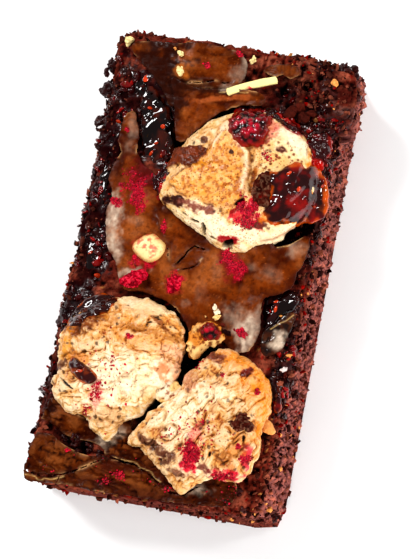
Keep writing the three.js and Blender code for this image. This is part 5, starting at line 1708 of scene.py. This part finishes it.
def build_camera():
    """Long lens above the bar, tilted to the right and to the front, and rolled."""
    to_right = math.tan(math.radians(VIEW_TILT_RIGHT))
    to_front = math.tan(math.radians(VIEW_TILT_FRONT))
    away = Vector((to_right, -to_front, 1)).normalized()
    place = VIEW_PIVOT + away * VIEW_DISTANCE
    forward = (VIEW_AIM - place).normalized()
    upright = Vector((0, 1, 0)) - forward * forward.y
    upright.normalize()
    sideways = forward.cross(upright)
    roll = math.radians(VIEW_ROLL)
    up = upright * math.cos(roll) - sideways * math.sin(roll)
    right = forward.cross(up)
    data = bpy.data.cameras.new("camera")
    data.sensor_width = SENSOR_MM
    data.lens = FOCAL_PIXELS / PHOTO_HEIGHT * SENSOR_MM
    data.clip_start, data.clip_end = 0.01, 20
    camera = bpy.data.objects.new("camera", data)
    camera.matrix_world = Matrix.Translation(place) @ Matrix((right, up, -forward)).transposed().to_4x4()
    bpy.context.scene.collection.objects.link(camera)
    bpy.context.scene.camera = camera


def build_floor():
    size = 3.0
    mesh = bpy.data.meshes.new("floor")
    mesh.from_pydata([(-size, -size, 0), (size, -size, 0), (size, size, 0), (-size, size, 0)], [],
                     [(0, 1, 2, 3)])
    floor = bpy.data.objects.new("floor", mesh)
    material = bpy.data.materials.new("pale_floor")
    material.use_nodes = True
    shader = material.node_tree.nodes["Principled BSDF"]
    shader.inputs["Base Color"].default_value = (0.95, 0.95, 0.95, 1)
    shader.inputs["Roughness"].default_value = 0.9
    mesh.materials.append(material)
    bpy.context.scene.collection.objects.link(floor)


LIGHTS = [
    # name, place, size, power and whether it shows in reflections
    ("key", (-0.50, 0.39, 0.69), 0.31, 7.3, True),
    ("glint", (0.42, 0.30, 0.80), 0.1, 1.1, True),
    ("right_fill", (0.74, -0.25, 0.33), 0.7, 7.0, False),
    ("front_fill", (0.10, -0.70, 0.45), 0.7, 3.2, False),
]
LIGHT_AIM = Vector((0, 0, 0.02))
SKY_STRENGTH = 0.22


def build_lights():
    world = bpy.data.worlds.new("studio")
    world.use_nodes = True
    background = world.node_tree.nodes["Background"]
    background.inputs["Color"].default_value = (1, 1, 1, 1)
    background.inputs["Strength"].default_value = SKY_STRENGTH
    bpy.context.scene.world = world
    for name, place, size, power, in_reflections in LIGHTS:
        data = bpy.data.lights.new(name, "AREA")
        data.size = size
        data.energy = power
        light = bpy.data.objects.new(name, data)
        light.location = place
        light.rotation_euler = (LIGHT_AIM - Vector(place)).to_track_quat("-Z", "Y").to_euler()
        light.visible_glossy = in_reflections
        bpy.context.scene.collection.objects.link(light)
    bpy.context.scene.view_settings.view_transform = "Standard"
    bpy.context.scene.view_settings.look = "Medium High Contrast"


# What the sheets of skin keep clear of: an outline and the distance kept
OFF_MARSHMALLOWS = [(outline, -0.2) for outline in (MARSHMALLOW_REAR, MARSHMALLOW_LEFT, MARSHMALLOW_RIGHT)]
GAP_LEFT = [
    (-9, -7.8), (-6, -7.8), (-2.6, -8.7), (0.8, -10.2), (2.8, -12), (3.9, -14.2), (3.2, -14.6), (1, -12),
    (-4, -9.6), (-9, -8.6),
]
OFF_MIDDLE = OFF_MARSHMALLOWS + [(DEEP_GAPS[1][0], 0.0), (GAP_LEFT, 0.0)]

crumb_points, crumb_normals, crumb_wet = build_crumb()
middle_top = build_sheet("skin_middle", SKIN_MIDDLE, 0, 0.35, OFF_MIDDLE, seed=61)
rear_top = build_sheet("skin_rear", SKIN_REAR, 0, 0.3, OFF_MARSHMALLOWS, 0.9, 0.3, seed=161)
# The fold is painted brighter than the skin around it, as painted light on the rolled band
fold_top = build_sheet("skin_fold", SKIN_FOLD, 0.8, 1.0, [], 1.1, 0.3, seed=261)
front_top = build_sheet("skin_front", SKIN_FRONT, 0, 0.4, OFF_MARSHMALLOWS + [(TRENCH, 0.0)], 0.62, 1.2,
                        seed=361)
rear_puff = build_marshmallow(
    "marshmallow_rear_crust", "marshmallow_rear", MARSHMALLOW_REAR, MARSHMALLOW_CROWN, 500, REAR_LOOK)
left_puff = build_marshmallow(
    "marshmallow_left_crust", "marshmallow_left", MARSHMALLOW_LEFT, MARSHMALLOW_CROWN + 0.4, 600, LEFT_LOOK)
right_puff = build_marshmallow(
    "marshmallow_right_crust", "marshmallow_right", MARSHMALLOW_RIGHT, MARSHMALLOW_CROWN + 0.2, 700,
    RIGHT_LOOK)
on_rear = lying_on(rear_puff)
topping_points = build_toppings({"rear": on_rear, "left": lying_on(left_puff), "right": lying_on(right_puff)})
build_smears(on_rear)
build_stick()
build_seeds(np.vstack([crumb_points[crumb_points[:, 2] > 18], topping_points]))
build_powder([
    (np.vstack([middle_top, rear_top, fold_top]), POWDER_ON_SKIN), (rear_puff, POWDER_ON_REAR),
    (left_puff, POWDER_ON_LEFT), (right_puff, POWDER_ON_RIGHT), (front_top, POWDER_ON_FRONT),
])
build_grit(crumb_points, crumb_normals, crumb_wet)
build_jam_bits(crumb_points, crumb_normals, crumb_wet)
build_chunks()
build_small_bits()
build_floor()
build_lights()
build_camera()
